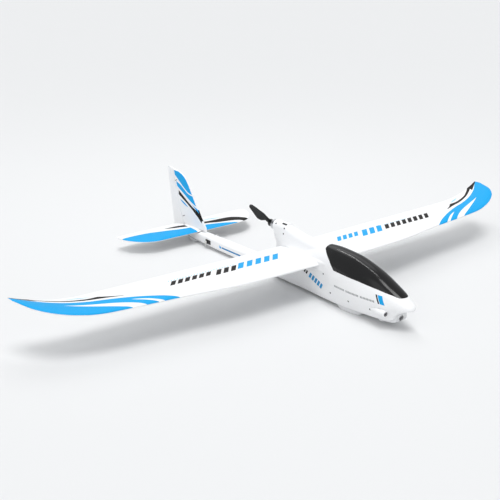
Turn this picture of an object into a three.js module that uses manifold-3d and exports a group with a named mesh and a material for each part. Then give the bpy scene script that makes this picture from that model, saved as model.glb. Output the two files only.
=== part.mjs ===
// Fixed wing drone: a foam pusher glider with a lift-off canopy, 1.6 m in span.
// Millimetres. +X is the aircraft's left (port) side, -Y is the nose, +Z is up.
// The origin is the centre of the belly skid's flat sole; the skid and the tail bumper stand on Z = 0.

import * as THREE from 'three';
import { mergeVertices } from 'three/addons/utils/BufferGeometryUtils.js';
import Module from 'manifold-3d';

const wasm = await Module();
wasm.setup();

// ---- Driving dimensions -------------------------------------------------------------------

const GAP = 0.3; // between neighbouring pieces
const SPAN = 1600;
const POD_REAR = 314; // rear rim of the motor pod
const PYLON_REAR = 309; // trailing edge of the pylon under the pod
const MOTOR_AXIS_Z = 145;
const POD_RADIUS = 16.8;
const PROP_RADIUS = 99;
const PROP_PLANE = 338;
const PROP_REST_ANGLE = THREE.MathUtils.degToRad(140); // blade direction at rest, about +Y from +X

const WING_Z = 97; // chord line at the wing's root
const DIHEDRAL = 0.012; // rise per mm of span
const WING_THICKNESS = 0.115; // of the chord
const TIP_START = 620; // where the tip begins to turn up
const TIP_RISE = 29; // extra height at the end of the tip
const SPAR_Y = 160;
const SPAR_RADIUS = 4;
const SPAR_HALF_LENGTH = 290;
const AILERON_INNER = 244;
const AILERON_OUTER = 646;
const AILERON_CHORD = 30;
const HINGE_GAP = 1.2; // between a fixed surface and its control surface

const STAB_Z = 38;
const STAB_HALF_SPAN = 234;
const STAB_THICKNESS = 9.5;
const ELEVATOR_HINGE_Y = 736;

const RUDDER_HINGE_LOW = [744, 28]; // y, z
const RUDDER_HINGE_HIGH = [802, 195.6];
const FIN_HALF_THICKNESS = 5;

const BOOM_END_Y = 750;

// ---- Colours and materials ----------------------------------------------------------------

const finish = (color, roughness, metalness = 0) => ({ color, roughness, metalness });
const FOAM = finish(0xf4f5f6, 0.55);
const FOAM_GREY = finish(0xd9dbdd, 0.6);
const CANOPY_BLACK = finish(0x1b1b1d, 0.18);
const NYLON_BLACK = finish(0x232325, 0.45);
const NYLON_WHITE = finish(0xe9e9e6, 0.4);
const SERVO_BLACK = finish(0x202124, 0.35);
const PLYWOOD = finish(0xc9a06a, 0.7);
const CARBON = finish(0x2a2a2c, 0.35);
const STEEL = finish(0xb9bcc0, 0.3, 1);
const ALUMINIUM = finish(0xc4c7ca, 0.35, 1);
const COPPER = finish(0xb06a3a, 0.4, 1);
const BATTERY_BLUE = finish(0x2b4f86, 0.4);
const CIRCUIT_GREEN = finish(0x2f6b4a, 0.5);

// ---- Solids -------------------------------------------------------------------------------

function solidOf(geometry) {
  const bare = geometry.clone();
  for (const name of Object.keys(bare.attributes)) {
    if (name !== 'position') bare.deleteAttribute(name);
  }
  const merged = mergeVertices(bare, 1e-4);
  return new wasm.Manifold(new wasm.Mesh({
    numProp: 3,
    vertProperties: new Float32Array(merged.attributes.position.array),
    triVerts: new Uint32Array(merged.index.array),
  }));
}

function geometryOf(solid) {
  const mesh = solid.getMesh();
  const geometry = new THREE.BufferGeometry();
  geometry.setAttribute('position', new THREE.BufferAttribute(new Float32Array(mesh.vertProperties), 3));
  geometry.setIndex(new THREE.BufferAttribute(new Uint32Array(mesh.triVerts), 1));
  geometry.computeVertexNormals();
  return geometry;
}

/** A box given by its lowest and highest corners. */
function box(low, high) {
  const size = high.map((value, i) => value - low[i]);
  const middle = high.map((value, i) => (value + low[i]) / 2);
  return solidOf(new THREE.BoxGeometry(...size).translate(...middle));
}

/** A cylinder between two points. */
function rod(start, end, radius, sides = 16, endRadius = radius) {
  const a = new THREE.Vector3(...start);
  const b = new THREE.Vector3(...end);
  const length = a.distanceTo(b);
  const geometry = new THREE.CylinderGeometry(endRadius, radius, length, sides);
  const turn = new THREE.Quaternion().setFromUnitVectors(
    new THREE.Vector3(0, 1, 0), b.clone().sub(a).normalize());
  const middle = a.add(b).multiplyScalar(0.5);
  return solidOf(geometry.applyQuaternion(turn).translate(middle.x, middle.y, middle.z));
}

/** A side outline, as [y, z] points, extruded across the aircraft from one x to another. */
function sidePlate(outline, fromX, toX) {
  const shape = new THREE.Shape(outline.map(([y, z]) => new THREE.Vector2(y, z)));
  const geometry = new THREE.ExtrudeGeometry(shape, { depth: toX - fromX, bevelEnabled: false });
  // Shape x, y and depth become world y, z and x.
  geometry.applyMatrix4(new THREE.Matrix4().makeBasis(
    new THREE.Vector3(0, 1, 0), new THREE.Vector3(0, 0, 1), new THREE.Vector3(1, 0, 0)));
  return solidOf(geometry.translate(fromX, 0, 0));
}

/** A closed skin over equal-length rings of [x, y, z] points, with flat ends. */
function loft(rings) {
  const count = rings[0].length;
  const points = rings.flat();
  const index = [];
  for (let i = 0; i + 1 < rings.length; i += 1) {
    for (let j = 0; j < count; j += 1) {
      const a = i * count + j;
      const b = i * count + (j + 1) % count;
      index.push(a, b, b + count, a, b + count, a + count);
    }
  }
  for (const [ring, first, flip] of [[rings[0], 0, true], [rings.at(-1), points.length - count, false]]) {
    for (const [a, b, c] of capTriangles(ring)) {
      index.push(first + a, first + (flip ? c : b), first + (flip ? b : c));
    }
  }
  const geometry = new THREE.BufferGeometry();
  geometry.setAttribute('position', new THREE.Float32BufferAttribute(points.flat(), 3));
  geometry.setIndex(index);
  const solid = solidOf(geometry);
  return solid.volume() > 0 ? solid : solidOf(turnedInsideOut(geometry));
}

function turnedInsideOut(geometry) {
  const index = [...geometry.index.array];
  for (let i = 0; i < index.length; i += 3) [index[i], index[i + 1]] = [index[i + 1], index[i]];
  geometry.setIndex(index);
  return geometry;
}

/** Triangles over a flat ring, wound the way the ring runs. */
function capTriangles(ring) {
  const spread = (k) => Math.max(...ring.map((p) => p[k])) - Math.min(...ring.map((p) => p[k]));
  const [i, j] = [0, 1, 2].sort((p, q) => spread(q) - spread(p)).slice(0, 2);
  const flat = ring.map((p) => new THREE.Vector2(p[i], p[j]));
  const area = THREE.ShapeUtils.area(flat);
  const triangles = THREE.ShapeUtils.triangulateShape(flat, []);
  return triangles.map(([a, b, c]) => {
    const size = THREE.ShapeUtils.area([flat[a], flat[b], flat[c]]);
    return size * area > 0 ? [a, b, c] : [a, c, b];
  });
}

/** A smooth curve through [position, value] points that never overshoots them. */
function profile(points) {
  const xs = points.map((p) => p[0]);
  const ys = points.map((p) => p[1]);
  const slope = xs.slice(1).map((x, i) => (ys[i + 1] - ys[i]) / (x - xs[i]));
  const tangent = ys.map((_, i) => {
    if (i === 0) return slope[0];
    if (i === ys.length - 1) return slope.at(-1);
    return slope[i - 1] * slope[i] <= 0 ? 0 : 2 / (1 / slope[i - 1] + 1 / slope[i]);
  });
  return (x) => {
    if (x <= xs[0]) return ys[0];
    if (x >= xs.at(-1)) return ys.at(-1);
    const i = xs.findIndex((edge) => edge > x) - 1;
    const width = xs[i + 1] - xs[i];
    const t = (x - xs[i]) / width;
    const [t2, t3] = [t * t, t * t * t];
    return ys[i] * (2 * t3 - 3 * t2 + 1) + tangent[i] * width * (t3 - 2 * t2 + t)
      + ys[i + 1] * (3 * t2 - 2 * t3) + tangent[i + 1] * width * (t3 - t2);
  };
}

const mirrorX = (solid) => solid.mirror([1, 0, 0]);

// ---- The model ----------------------------------------------------------------------------

const aircraft = new THREE.Group();

function add(name, solid, look) {
  const mesh = new THREE.Mesh(geometryOf(solid), new THREE.MeshStandardMaterial(look));
  mesh.name = name;
  aircraft.add(mesh);
}

// ---- Fuselage outline ---------------------------------------------------------------------
// Each curve gives one measure of the cross-section at a station y.

const crown = profile([[-190, 63], [-187, 67], [-178, 74], [-150, 91], [-117, 106.5], [-76, 124.5],
  [-38, 136], [12, 146], [73, 149], [107, 147], [130, 140], [160, 128], [200, 108], [285, 98], [305, 74],
  [324, 43], [370, 40], [500, 38.5], [BOOM_END_Y, 36.5]]);
const flank = profile([[-190, 3], [-186, 11], [-172, 20.5], [-150, 29], [-100, 39.5], [-20, 46.5], [60, 42],
  [110, 34], [200, 31], [300, 21], [370, 18.5], [560, 18], [BOOM_END_Y, 10]]);
const flankZ = profile([[-190, 61], [-150, 62], [0, 66], [100, 88], [300, 60], [370, 27], [BOOM_END_Y, 26]]);
const chine = profile([[-190, 2.5], [-186, 10.5], [-172, 20], [-150, 28.5], [-100, 39], [-20, 46], [60, 41],
  [110, 33], [200, 30], [300, 20.5], [370, 18.3], [560, 17.8], [BOOM_END_Y, 9.5]]);
const chineZ = profile([[-190, 59], [-172, 57], [-150, 55], [0, 55], [60, 62], [110, 80], [200, 78],
  [300, 40], [370, 20], [BOOM_END_Y, 22]]);
const keel = profile([[-190, 2], [-180, 11], [-160, 20], [-140, 24], [-60, 30], [60, 30], [150, 26],
  [300, 19], [370, 17.2], [560, 16.5], [BOOM_END_Y, 8]]);
const keelZ = profile([[-190, 57], [-175, 53.5], [-160, 48], [-152, 40], [-142, 24], [-110, 17], [-50, 13],
  [60, 8], [160, 8.5], [300, 6.5], [500, 7.5], [650, 9.5], [BOOM_END_Y, 14]]);
// The crown's roundness: 2 is an ellipse.
const crownPower = profile([[-150, 2.08], [-60, 2.12], [20, 2.25], [200, 2.25], [380, 3.4]]);

const HULL_STATIONS = [-190, -188.5, -186, -180, -172, -162, -155, -148, -133, -115, -95, -70, -40, -10, 20,
  50, 80, 105, 130, 160, 200, 250, 285, 295, 305, 314, 323, 340, 360, 400, 500, 600, 680, BOOM_END_Y];
const CROWN_STEPS = 7;

/** The starboard half of a hull section, from the crown down to the middle of the keel. */
function hullHalf(y, grow = 0) {
  const widthZ = flankZ(y);
  const top = Math.max(crown(y) + grow, widthZ + 1);
  const width = Math.max(flank(y) + grow, 1.5);
  const half = [];
  for (let i = 0; i <= CROWN_STEPS; i += 1) {
    const angle = (i / CROWN_STEPS) * Math.PI / 2;
    const x = width * Math.sin(angle) ** (2 / crownPower(y));
    const z = widthZ + (top - widthZ) * Math.cos(angle) ** (2 / crownPower(y));
    half.push([x, z]);
  }
  const low = chineZ(y);
  const foot = Math.max(keel(y) + grow, 1);
  const footZ = Math.min(keelZ(y) - grow, low - 1);
  half.push([Math.max(chine(y) + grow, 1.4), low]);
  half.push([foot * 1.06, footZ + (low - footZ) * 0.22]);
  half.push([foot * 0.9, footZ]);
  half.push([0, footZ]);
  return half;
}

/** A ring from a half section: down one side and up the other. */
function sectionRing(half, y) {
  const down = half.map(([x, z]) => [-x, y, z]);
  const up = half.slice(1, -1).reverse().map(([x, z]) => [x, y, z]);
  return [...down, ...up];
}

const pylonTop = profile([[70, 138], [110, 144], [150, 145], [191, 147], [231, 152.5], [271, 159],
  [290, 161.8], [PYLON_REAR, 161.8]]);
const pylonFoot = profile([[70, 38], [106, 36], [150, 34], [200, 29], [250, 21], [285, 14],
  [PYLON_REAR, 7]]);
const podRadius = profile([[70, 24], [150, 20], [220, 17.5], [280, POD_RADIUS]]);
const PYLON_STATIONS = [70, 90, 110, 135, 160, 190, 220, 250, 275, 295, PYLON_REAR];

/** The pylon's section: a round back that flares out into the wing. */
function pylonHalf(y, grow = 0) {
  const radius = podRadius(y);
  const [middle, foot, base] = [pylonTop(y) - radius, pylonFoot(y), WING_Z - 14];
  const half = [];
  for (let i = 0; i <= 5; i += 1) {
    const angle = (i / 5) * Math.PI / 2;
    half.push([(radius + grow) * Math.sin(angle), middle + (radius + grow) * Math.cos(angle)]);
  }
  const flareZ = WING_Z + 10;
  for (let i = 1; i <= 4; i += 1) {
    const angle = (i / 4) * Math.PI / 2;
    const side = radius + (foot - radius) * (1 - Math.cos(angle)) + grow;
    half.push([side, middle - (middle - flareZ) * Math.sin(angle)]);
  }
  half.push([foot + grow, base - grow]);
  half.push([0, base - grow]);
  return half;
}

function fuselageOutline(grow = 0) {
  const hull = loft(HULL_STATIONS.map((y) => sectionRing(hullHalf(y, grow), y)));
  const pylon = loft(PYLON_STATIONS.map((y) => sectionRing(pylonHalf(y, grow), y)));
  const pod = rod([0, 270, MOTOR_AXIS_Z], [0, POD_REAR, MOTOR_AXIS_Z], POD_RADIUS + grow, 24);
  const fillet = sidePlate([[290, 134], [POD_REAR, 132], [PYLON_REAR, 104], [290, 98]], -5 - grow, 5 + grow);
  return hull.add(pylon).add(pod).add(fillet);
}

// ---- Canopy and fuselage shells -----------------------------------------------------------

const CANOPY_WALL = 2.5;
const CANOPY_PARTING = [[102, 141], [70, 121], [47, 101.5], [-40, 99], [-100, 93.5], [-140, 87.5],
  [-155, 84]];

/** The side outline of everything above the canopy's parting line, moved up by `lift`. */
function canopyZone(lift) {
  const line = CANOPY_PARTING.map(([y, z]) => [y, z + lift]);
  return sidePlate([[-230, 84 + lift], [-230, 190], [110, 190], ...line], -70, 70);
}

const BAY = { front: -118, rear: 96, floor: 30, halfWidthLow: 23, halfWidthHigh: 31, roof: 92 };

/** The equipment bay: a trough with sloping sides, open at the top under the canopy. */
function bayVolume() {
  const { front, rear, floor, halfWidthLow: low, halfWidthHigh: high, roof } = BAY;
  const section = (y, scale) => [[-low * scale, y, floor], [low * scale, y, floor], [high * scale, y, 60],
    [high * scale, y, roof + 30], [-high * scale, y, roof + 30], [-high * scale, y, 60]];
  const open = loft([section(front, 0.8), section(front + 30, 1), section(44, 1)]);
  const tunnel = box([-low, 40, floor], [low, rear, roof - 4]);
  return open.add(tunnel);
}

function buildFuselage() {
  const outline = fuselageOutline();
  const hollow = fuselageOutline(-CANOPY_WALL).intersect(box([-60, BAY.front, 80], [60, 130, 200]));
  const canopy = outline.intersect(canopyZone(GAP)).subtract(hollow).subtract(magnetHole);
  add('canopy', biggest(canopy), CANOPY_BLACK);

  const motorPocket = rod([0, 293, MOTOR_AXIS_Z], [0, 330, MOTOR_AXIS_Z], 15.2, 24);
  const ventSlot = box([-3, 288, MOTOR_AXIS_Z], [3, 302, 180]);
  const sparHole = rod([-90, SPAR_Y, SPAR_Z], [90, SPAR_Y, SPAR_Z], SPAR_RADIUS + GAP, 16);
  let body = outline.subtract(canopyZone(0)).subtract(bayVolume()).subtract(motorPocket)
    .subtract(ventSlot).subtract(sparHole).subtract(magnetHole);
  for (const cut of fuselageCuts()) body = body.subtract(cut);
  const half = (sign) => body.intersect(box([Math.min(sign * GAP / 2, sign * 90), -300, -50],
    [Math.max(sign * GAP / 2, sign * 90), 900, 300]));
  add('fuselage_left', biggest(half(1)), FOAM);
  add('fuselage_right', biggest(half(-1)), FOAM);
}

const MAGNET = { y: -130, low: 85, radius: 4, height: 3 };
const magnetDisc = (low, grow) => rod([0, MAGNET.y, low - grow], [0, MAGNET.y, low + MAGNET.height + grow],
  MAGNET.radius + grow, 16);
const CANOPY_MAGNET_LOW = MAGNET.low + MAGNET.height + 2 * GAP;
const magnetHole = magnetDisc(MAGNET.low, GAP).add(magnetDisc(CANOPY_MAGNET_LOW, GAP));

/** What the bay carries, standing on a plywood tray. */
function buildEquipment() {
  add('deck_magnet', magnetDisc(MAGNET.low, 0), STEEL);
  add('canopy_magnet', magnetDisc(CANOPY_MAGNET_LOW, 0), STEEL);
  const trayTop = BAY.floor + GAP + 3;
  add('equipment_tray', box([-21, -86, BAY.floor + GAP], [21, 92, trayTop]), PLYWOOD);
  const on = trayTop + GAP;
  add('battery', box([-17.5, -80, on], [17.5, 26, on + 26]), BATTERY_BLUE);
  add('speed_controller', box([-14, 32, on], [14, 60, on + 11]), CIRCUIT_GREEN);
  add('receiver', box([-11, 64, on], [11, 90, on + 14]), NYLON_BLACK);
}

/** The largest separate piece of a solid, which drops slivers left by a cut. */
function biggest(solid) {
  const pieces = solid.decompose();
  return pieces.sort((a, b) => b.volume() - a.volume())[0];
}

// ---- Wing ---------------------------------------------------------------------------------

const wingLeading = profile([[0, 106], [235, 107], [445, 131], [575, 143], [640, 151], [700, 166], [750, 190],
  [780, 220], [798, 272]]);
const wingTrailing = profile([[0, 279], [575, 278], [680, 281], [760, 291], [798, 298]]);
const AIRFOIL_STEPS = 9;
const SPAR_Z = WING_Z + 2.5;

const wingLift = (x) => WING_Z + DIHEDRAL * x
  + TIP_RISE * (Math.max(0, x - TIP_START) / (SPAN / 2 - TIP_START)) ** 2;

/** Half thickness of a symmetric four-digit section of unit chord. */
const halfThickness = (t) => 5 * (0.2969 * Math.sqrt(t) - 0.126 * t - 0.3516 * t ** 2 + 0.2843 * t ** 3
  - 0.1036 * t ** 4);
const CAMBER = 0.02;

/** A ring round the wing section at span station x, upper side first. */
function wingRing(x, grow = 0) {
  const [front, back, level] = [wingLeading(x) - grow, wingTrailing(x) + grow, wingLift(x)];
  const chord = back - front;
  const upper = [];
  const lower = [];
  for (let i = 0; i <= AIRFOIL_STEPS; i += 1) {
    const t = (1 - Math.cos((i / AIRFOIL_STEPS) * Math.PI)) / 2;
    const half = Math.max(halfThickness(t) * WING_THICKNESS * chord, 0.5) + grow;
    const mean = level + CAMBER * chord * 4 * t * (1 - t);
    upper.push([x, front + t * chord, mean + half]);
    lower.push([x, front + t * chord, mean - half * 0.85]);
  }
  return [...upper, ...lower.reverse()];
}

const WING_STATIONS = [8, 60, 150, AILERON_INNER, 340, 445, 520, 590, AILERON_OUTER, 680, 710, 735, 757, 775,
  788, 795, 799.5];
const wingHalf = () => loft(WING_STATIONS.map((x) => wingRing(x)));

/** The middle of the wing's thickness, an aileron chord ahead of the trailing edge. */
function hingeMiddle(x) {
  const chord = wingTrailing(x) - wingLeading(x);
  const t = 1 - AILERON_CHORD / chord;
  const half = halfThickness(t) * WING_THICKNESS * chord;
  return [x, wingTrailing(x) - AILERON_CHORD, wingLift(x) + CAMBER * chord * 4 * t * (1 - t) + 0.075 * half];
}

const HINGE_ENDS = [hingeMiddle(AILERON_INNER), hingeMiddle(AILERON_OUTER)];

/** A point on the aileron's straight hinge line, at span station x. */
function aileronHinge(x) {
  const t = (x - AILERON_INNER) / (AILERON_OUTER - AILERON_INNER);
  return HINGE_ENDS[0].map((value, i) => value + t * (HINGE_ENDS[1][i] - value));
}

/** The block behind the hinge line between two span stations; `front` moves its front face aft. */
function aileronZone(fromX, toX, front) {
  const ends = [fromX, toX].map((x) => {
    const [, y, z] = aileronHinge(x);
    return [[x, y + front, z - 30], [x, y + front, z + 30], [x, y + 60, z + 30], [x, y + 60, z - 30]];
  });
  return loft(ends);
}

/** Two sloping planes through a hinge line, which leave a wedge-shaped nose on a control surface. */
function wedgeNose(start, end, up, aft, slope = 0.75, reach = 20) {
  const point = (p, a, b) => p.map((value, i) => value + aft[i] * a + up[i] * b);
  const ring = (p) => [point(p, 0, 0), point(p, reach * slope, reach), point(p, 90, reach),
    point(p, 90, -reach), point(p, reach * slope, -reach)];
  return loft([ring(start), ring(end)]);
}

function buildWing() {
  const plain = wingHalf();
  const keepOut = fuselageOutline(GAP);
  const sparHole = rod([0, SPAR_Y, SPAR_Z], [SPAR_HALF_LENGTH + 2, SPAR_Y, SPAR_Z], SPAR_RADIUS + GAP, 16);
  const gapZone = aileronZone(AILERON_INNER, AILERON_OUTER, -HINGE_GAP);
  const servoHole = aileronLink.servoPocket;
  const panel = biggest(plain.subtract(keepOut).subtract(sparHole).subtract(gapZone).subtract(servoHole));
  add('wing_left', panel, FOAM);
  add('wing_right', mirrorX(panel), FOAM);

  const [inner, outer] = [AILERON_INNER + 1, AILERON_OUTER - 1];
  const nose = wedgeNose(aileronHinge(inner), aileronHinge(outer), [0, 0, 1], [0, 1, 0]);
  const aileron = biggest(plain.intersect(aileronZone(inner, outer, 0)).intersect(nose));
  add('aileron_left', aileron, FOAM);
  add('aileron_right', mirrorX(aileron), FOAM);

  const tube = rod([-SPAR_HALF_LENGTH, SPAR_Y, SPAR_Z], [SPAR_HALF_LENGTH, SPAR_Y, SPAR_Z], SPAR_RADIUS, 16);
  const bore = rod([-SPAR_HALF_LENGTH - 1, SPAR_Y, SPAR_Z], [SPAR_HALF_LENGTH + 1, SPAR_Y, SPAR_Z], 2.8, 12);
  add('wing_spar', tube.subtract(bore), CARBON);
}

// ---- Linkages -----------------------------------------------------------------------------
// A servo arm and a control horn of the same length and direction are joined by a pushrod, so the three
// make a parallelogram: the arm turns with the surface and the pushrod keeps its own direction.

const SERVO = { length: 22.8, width: 12, height: 20, earLength: 32, earThickness: 2.4, shaftInset: 6 };
const LEVER_HOLE = 1.1;
const PIN_RADIUS = 0.75;

const vector = (p) => new THREE.Vector3(...p);
const plus = (p, q, k = 1) => p.map((value, i) => value + q[i] * k);

/** Moves a solid built with its own x, y, z axes to directions and a point in the aircraft. */
function placed(solid, origin, xAxis, yAxis) {
  const x = vector(xAxis).normalize();
  const z = x.clone().cross(vector(yAxis)).normalize();
  const y = z.clone().cross(x);
  const matrix = new THREE.Matrix4().makeBasis(x, y, z).setPosition(...origin);
  return solid.transform(matrix.elements);
}

/** A flat plate in its own x, y plane with a pin hole at [length, 0]. */
function leverPlate(outline, length, thickness) {
  const shape = new THREE.Shape(outline.map(([x, y]) => new THREE.Vector2(x, y)));
  const plate = solidOf(new THREE.ExtrudeGeometry(shape, { depth: thickness, bevelEnabled: false })
    .translate(0, 0, -thickness / 2));
  return plate.subtract(rod([length, 0, -5], [length, 0, 5], LEVER_HOLE, 10));
}

/** A servo arm: a tapered lever with a hub on the servo's shaft. */
function servoArm(length) {
  const outline = [[0, -3.2], [length, -2], [length + 1.8, -1], [length + 1.8, 1], [length, 2], [0, 3.2]];
  return leverPlate(outline, length, 1.8).add(rod([0, 0, -1.9], [0, 0, 1.5], 3.4, 16));
}

/** A control horn: its foot stands on the surface, aft of the hinge line. */
function controlHorn(length, root) {
  const tip = length + 1.8;
  const outline = [[root, 0.8], [length, -2], [tip, -1], [tip, 1], [length, 2.2], [root, 10]];
  return leverPlate(outline, length, 1.6);
}

/**
 * A micro servo: its shaft on its own z at the origin, its case below and along its own x. As a pocket it
 * is `extra` larger all round and reaches `open` above the case.
 */
function servoSolid(extra = 0, open = 0) {
  const { length, width, height, earLength, earThickness, shaftInset } = SERVO;
  const back = shaftInset + extra;
  const front = length - shaftInset + extra;
  const side = width / 2 + extra;
  const top = -4;
  const shoulder = top - 4 + extra;
  const body = box([-back, -side, top - height - extra], [front, side, top + open]);
  const earOver = (earLength - length) / 2;
  const earLow = shoulder - earThickness - 2 * extra;
  const ears = box([-back - earOver, -side, earLow], [front + earOver, side, shoulder]);
  const boss = rod([0, 0, top - 1], [0, 0, top + 1.8], 3, 16);
  return body.add(ears).add(boss);
}

/**
 * One control linkage. `leverVector` runs from a pivot to its pin hole, the same on the servo arm and the
 * horn. The servo's shaft points along `axis`, its case lies towards `caseToward`, and `rodSide` says on
 * which side of the levers the pushrod runs. `surface` is how far the horn's foot lies from the hinge line,
 * and `pocketOpen` how far the servo's pocket reaches above its case.
 */
function linkage(layout) {
  const { servoAt, hingeAt, axis, aft, leverVector, caseToward, surface } = layout;
  const { rodSide = 1, pocketOpen = 8 } = layout;
  const length = Math.hypot(...leverVector);
  const levers = (solid, at, across) => placed(solid, at, leverVector, across);
  const outward = vector(axis).normalize().toArray();
  const across = vector(outward).cross(vector(leverVector)).toArray();
  const arm = levers(servoArm(length), servoAt, across);
  const horn = levers(controlHorn(length, surface), hingeAt, aft);
  const [armHole, hornHole] = [plus(servoAt, leverVector), plus(hingeAt, leverVector)];
  const offset = 2.6 * rodSide;
  const pin = (hole) => rod(plus(hole, outward, -2 * rodSide), plus(hole, outward, offset + 0.3 * rodSide),
    PIN_RADIUS, 8);
  const wire = rod(plus(armHole, outward, offset), plus(hornHole, outward, offset), PIN_RADIUS, 8)
    .add(pin(armHole)).add(pin(hornHole));
  const caseAcross = vector(outward).cross(vector(caseToward)).toArray();
  const servo = placed(servoSolid(0), servoAt, caseToward, caseAcross);
  const servoPocket = placed(servoSolid(0.4, pocketOpen), servoAt, caseToward, caseAcross);
  // Room for the swing of an arm that is sunk into the foam, and of a horn that starts ahead of its hinge.
  const armSlot = levers(box([-4, -9.5, -2.9], [30, 9.5, 2.6]), servoAt, across);
  const hornSlot = levers(box([2, -9, -1.4], [22, 2, 1.4]), hingeAt, aft);
  return { arm, wire, horn, servo, servoPocket, armSlot, hornSlot };
}

const AILERON_LINK_X = 330;
const aileronLinkHinge = aileronHinge(AILERON_LINK_X);
const aileronAxis = vector(plus(HINGE_ENDS[1], HINGE_ENDS[0], -1)).normalize().toArray();
const aileronLink = linkage({
  servoAt: plus(aileronLinkHinge, [0, -78, -1.5]),
  hingeAt: aileronLinkHinge,
  axis: aileronAxis,
  aft: [0, 1, 0],
  leverVector: [0, 0, -17],
  caseToward: [0, -1, 0],
  surface: 4.2,
});

const rudderDirection = vector([0, RUDDER_HINGE_HIGH[0] - RUDDER_HINGE_LOW[0],
  RUDDER_HINGE_HIGH[1] - RUDDER_HINGE_LOW[1]]).normalize().toArray();
const rudderHinge = (z) => [0, RUDDER_HINGE_LOW[0]
  + (z - RUDDER_HINGE_LOW[1]) * rudderDirection[1] / rudderDirection[2], z];

const elevatorLink = linkage({
  servoAt: [-23, 610, 21.5],
  hingeAt: [-23, ELEVATOR_HINGE_Y, STAB_Z],
  axis: [-1, 0, 0],
  aft: [0, 1, 0],
  leverVector: [0, 0, -11],
  caseToward: [0, -1, 0],
  surface: 3.9,
});

const rudderLink = linkage({
  servoAt: [9, 612, 33.5],
  hingeAt: rudderHinge(25),
  axis: rudderDirection,
  aft: [0, rudderDirection[2], -rudderDirection[1]],
  leverVector: [14, 0, 0],
  caseToward: [0, -rudderDirection[2], rudderDirection[1]],
  surface: 4.9,
  rodSide: -1,
  pocketOpen: 0.4,
});

/** Everything behind a plane a little ahead of the rudder's hinge line. */
function behindRudderHinge(ahead) {
  const [low, high] = [rudderHinge(-10), rudderHinge(230)];
  return sidePlate([[low[1] - ahead, -10], [high[1] - ahead, 230], [900, 230], [900, -10]], -40, 40);
}

const fuselageCuts = () => [elevatorLink.servoPocket, rudderLink.servoPocket, rudderLink.armSlot,
  rudderLink.hornSlot, behindRudderHinge(HINGE_GAP),
  box([-30, 655, STAB_Z - STAB_THICKNESS / 2 - GAP], [30, 760, 90]),
  ...SHELL_SCREWS.flatMap((at) => [shellScrew(at, GAP), mirrorX(shellScrew(at, GAP))])];

function buildLinkages() {
  const parts = [['aileron_left', aileronLink, (s) => s], ['aileron_right', aileronLink, mirrorX],
    ['elevator', elevatorLink, (s) => s], ['rudder', rudderLink, (s) => s]];
  for (const [name, link, turn] of parts) {
    add(`${name}_servo`, turn(link.servo), SERVO_BLACK);
    add(`${name}_servo_arm`, turn(link.arm), NYLON_WHITE);
    add(`${name}_pushrod`, turn(link.wire), STEEL);
    add(`${name}_horn`, turn(link.horn), NYLON_BLACK);
  }
}

// ---- Tail ---------------------------------------------------------------------------------

const stabLeading = profile([[0, 658], [148, 659], [175, 666], [200, 683], [220, 708], [230, 731],
  [STAB_HALF_SPAN, 752]]);
const stabTrailing = profile([[0, 764.5], [222, 764.5], [230, 762], [STAB_HALF_SPAN, 754]]);
const STAB_STATIONS = [0, 70, 148, 165, 180, 195, 208, 220, 228, 232, STAB_HALF_SPAN];

/** A ring round a thin symmetric tail section; `at` maps distance aft and height to a point. */
function tailRing(front, back, thickness, at) {
  const chord = back - front;
  const shape = [[0, 0.25], [0.04, 0.55], [0.14, 0.9], [0.35, 1], [0.62, 0.85], [0.85, 0.45], [1, 0.16]];
  const side = (sign) => shape.map(([t, h]) => at(front + t * chord, sign * h * thickness / 2));
  return [...side(1), ...side(-1).reverse()];
}

function buildStabilizer() {
  const rings = STAB_STATIONS.map((x) => {
    const fade = Math.sqrt(1 - (x / (STAB_HALF_SPAN + 6)) ** 6);
    return tailRing(stabLeading(x), stabTrailing(x), STAB_THICKNESS * fade, (y, h) => [x, y, STAB_Z + h]);
  });
  const left = loft(rings);
  const whole = left.add(mirrorX(left));
  const ahead = box([-300, 600, 0], [300, ELEVATOR_HINGE_Y - HINGE_GAP, 90]);
  add('stabilizer', whole.intersect(ahead), FOAM);

  // The inner ends slope away from the rudder's swing.
  const zone = box([9, ELEVATOR_HINGE_Y - 1, 0], [300, 790, 90]);
  const innerCut = loft([0, 90].map((z) => [[0, 730, z], [9, 730, z], [19, 775, z], [0, 775, z]]));
  const hingeAt = (x) => [x, ELEVATOR_HINGE_Y, STAB_Z];
  const nose = wedgeNose(hingeAt(9), hingeAt(300), [0, 0, 1], [0, 1, 0]);
  const joinerRod = (halfLength, radius) => rod([-halfLength, ELEVATOR_HINGE_Y + 4, STAB_Z],
    [halfLength, ELEVATOR_HINGE_Y + 4, STAB_Z], radius, 12);
  const half = biggest(left.intersect(zone).intersect(nose).subtract(innerCut)
    .subtract(joinerRod(40, 1.6)));
  add('elevator_left', half, FOAM);
  add('elevator_right', mirrorX(half), FOAM);
  add('elevator_joiner', joinerRod(38, 1.2), STEEL);
}

const RUDDER_HINGES = [['rudder_hinge_lower', 70], ['rudder_hinge_upper', 170]];

/** A hinge barrel on the rudder's hinge line with a leaf set into the fin. */
function rudderHingeSolid(z, grow) {
  const barrel = rod(rudderHinge(z - 3 - 3 * grow), rudderHinge(z + 3 + 3 * grow), 1.5 + 2 * grow, 10);
  const [, y] = rudderHinge(z);
  const leaf = box([-0.5 - grow, y - 9 - grow, z - 2.5 - grow], [0.5 + grow, y, z + 2.5 + grow]);
  return barrel.add(leaf);
}

const finLeading = profile([[20, 636], [44, 634], [82, 661], [104, 676], [144, 703], [170, 722], [187, 741],
  [196, 765], [203, 812]]);
const rudderTrailing = profile([[20, 800], [60, 806], [100, 813.5], [150, 822], [195, 829.5], [203, 831]]);
const FIN_STATIONS = [20, 44, 60, 82, 104, 125, 144, 160, 175, 187, 195, 200, 203];

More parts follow.
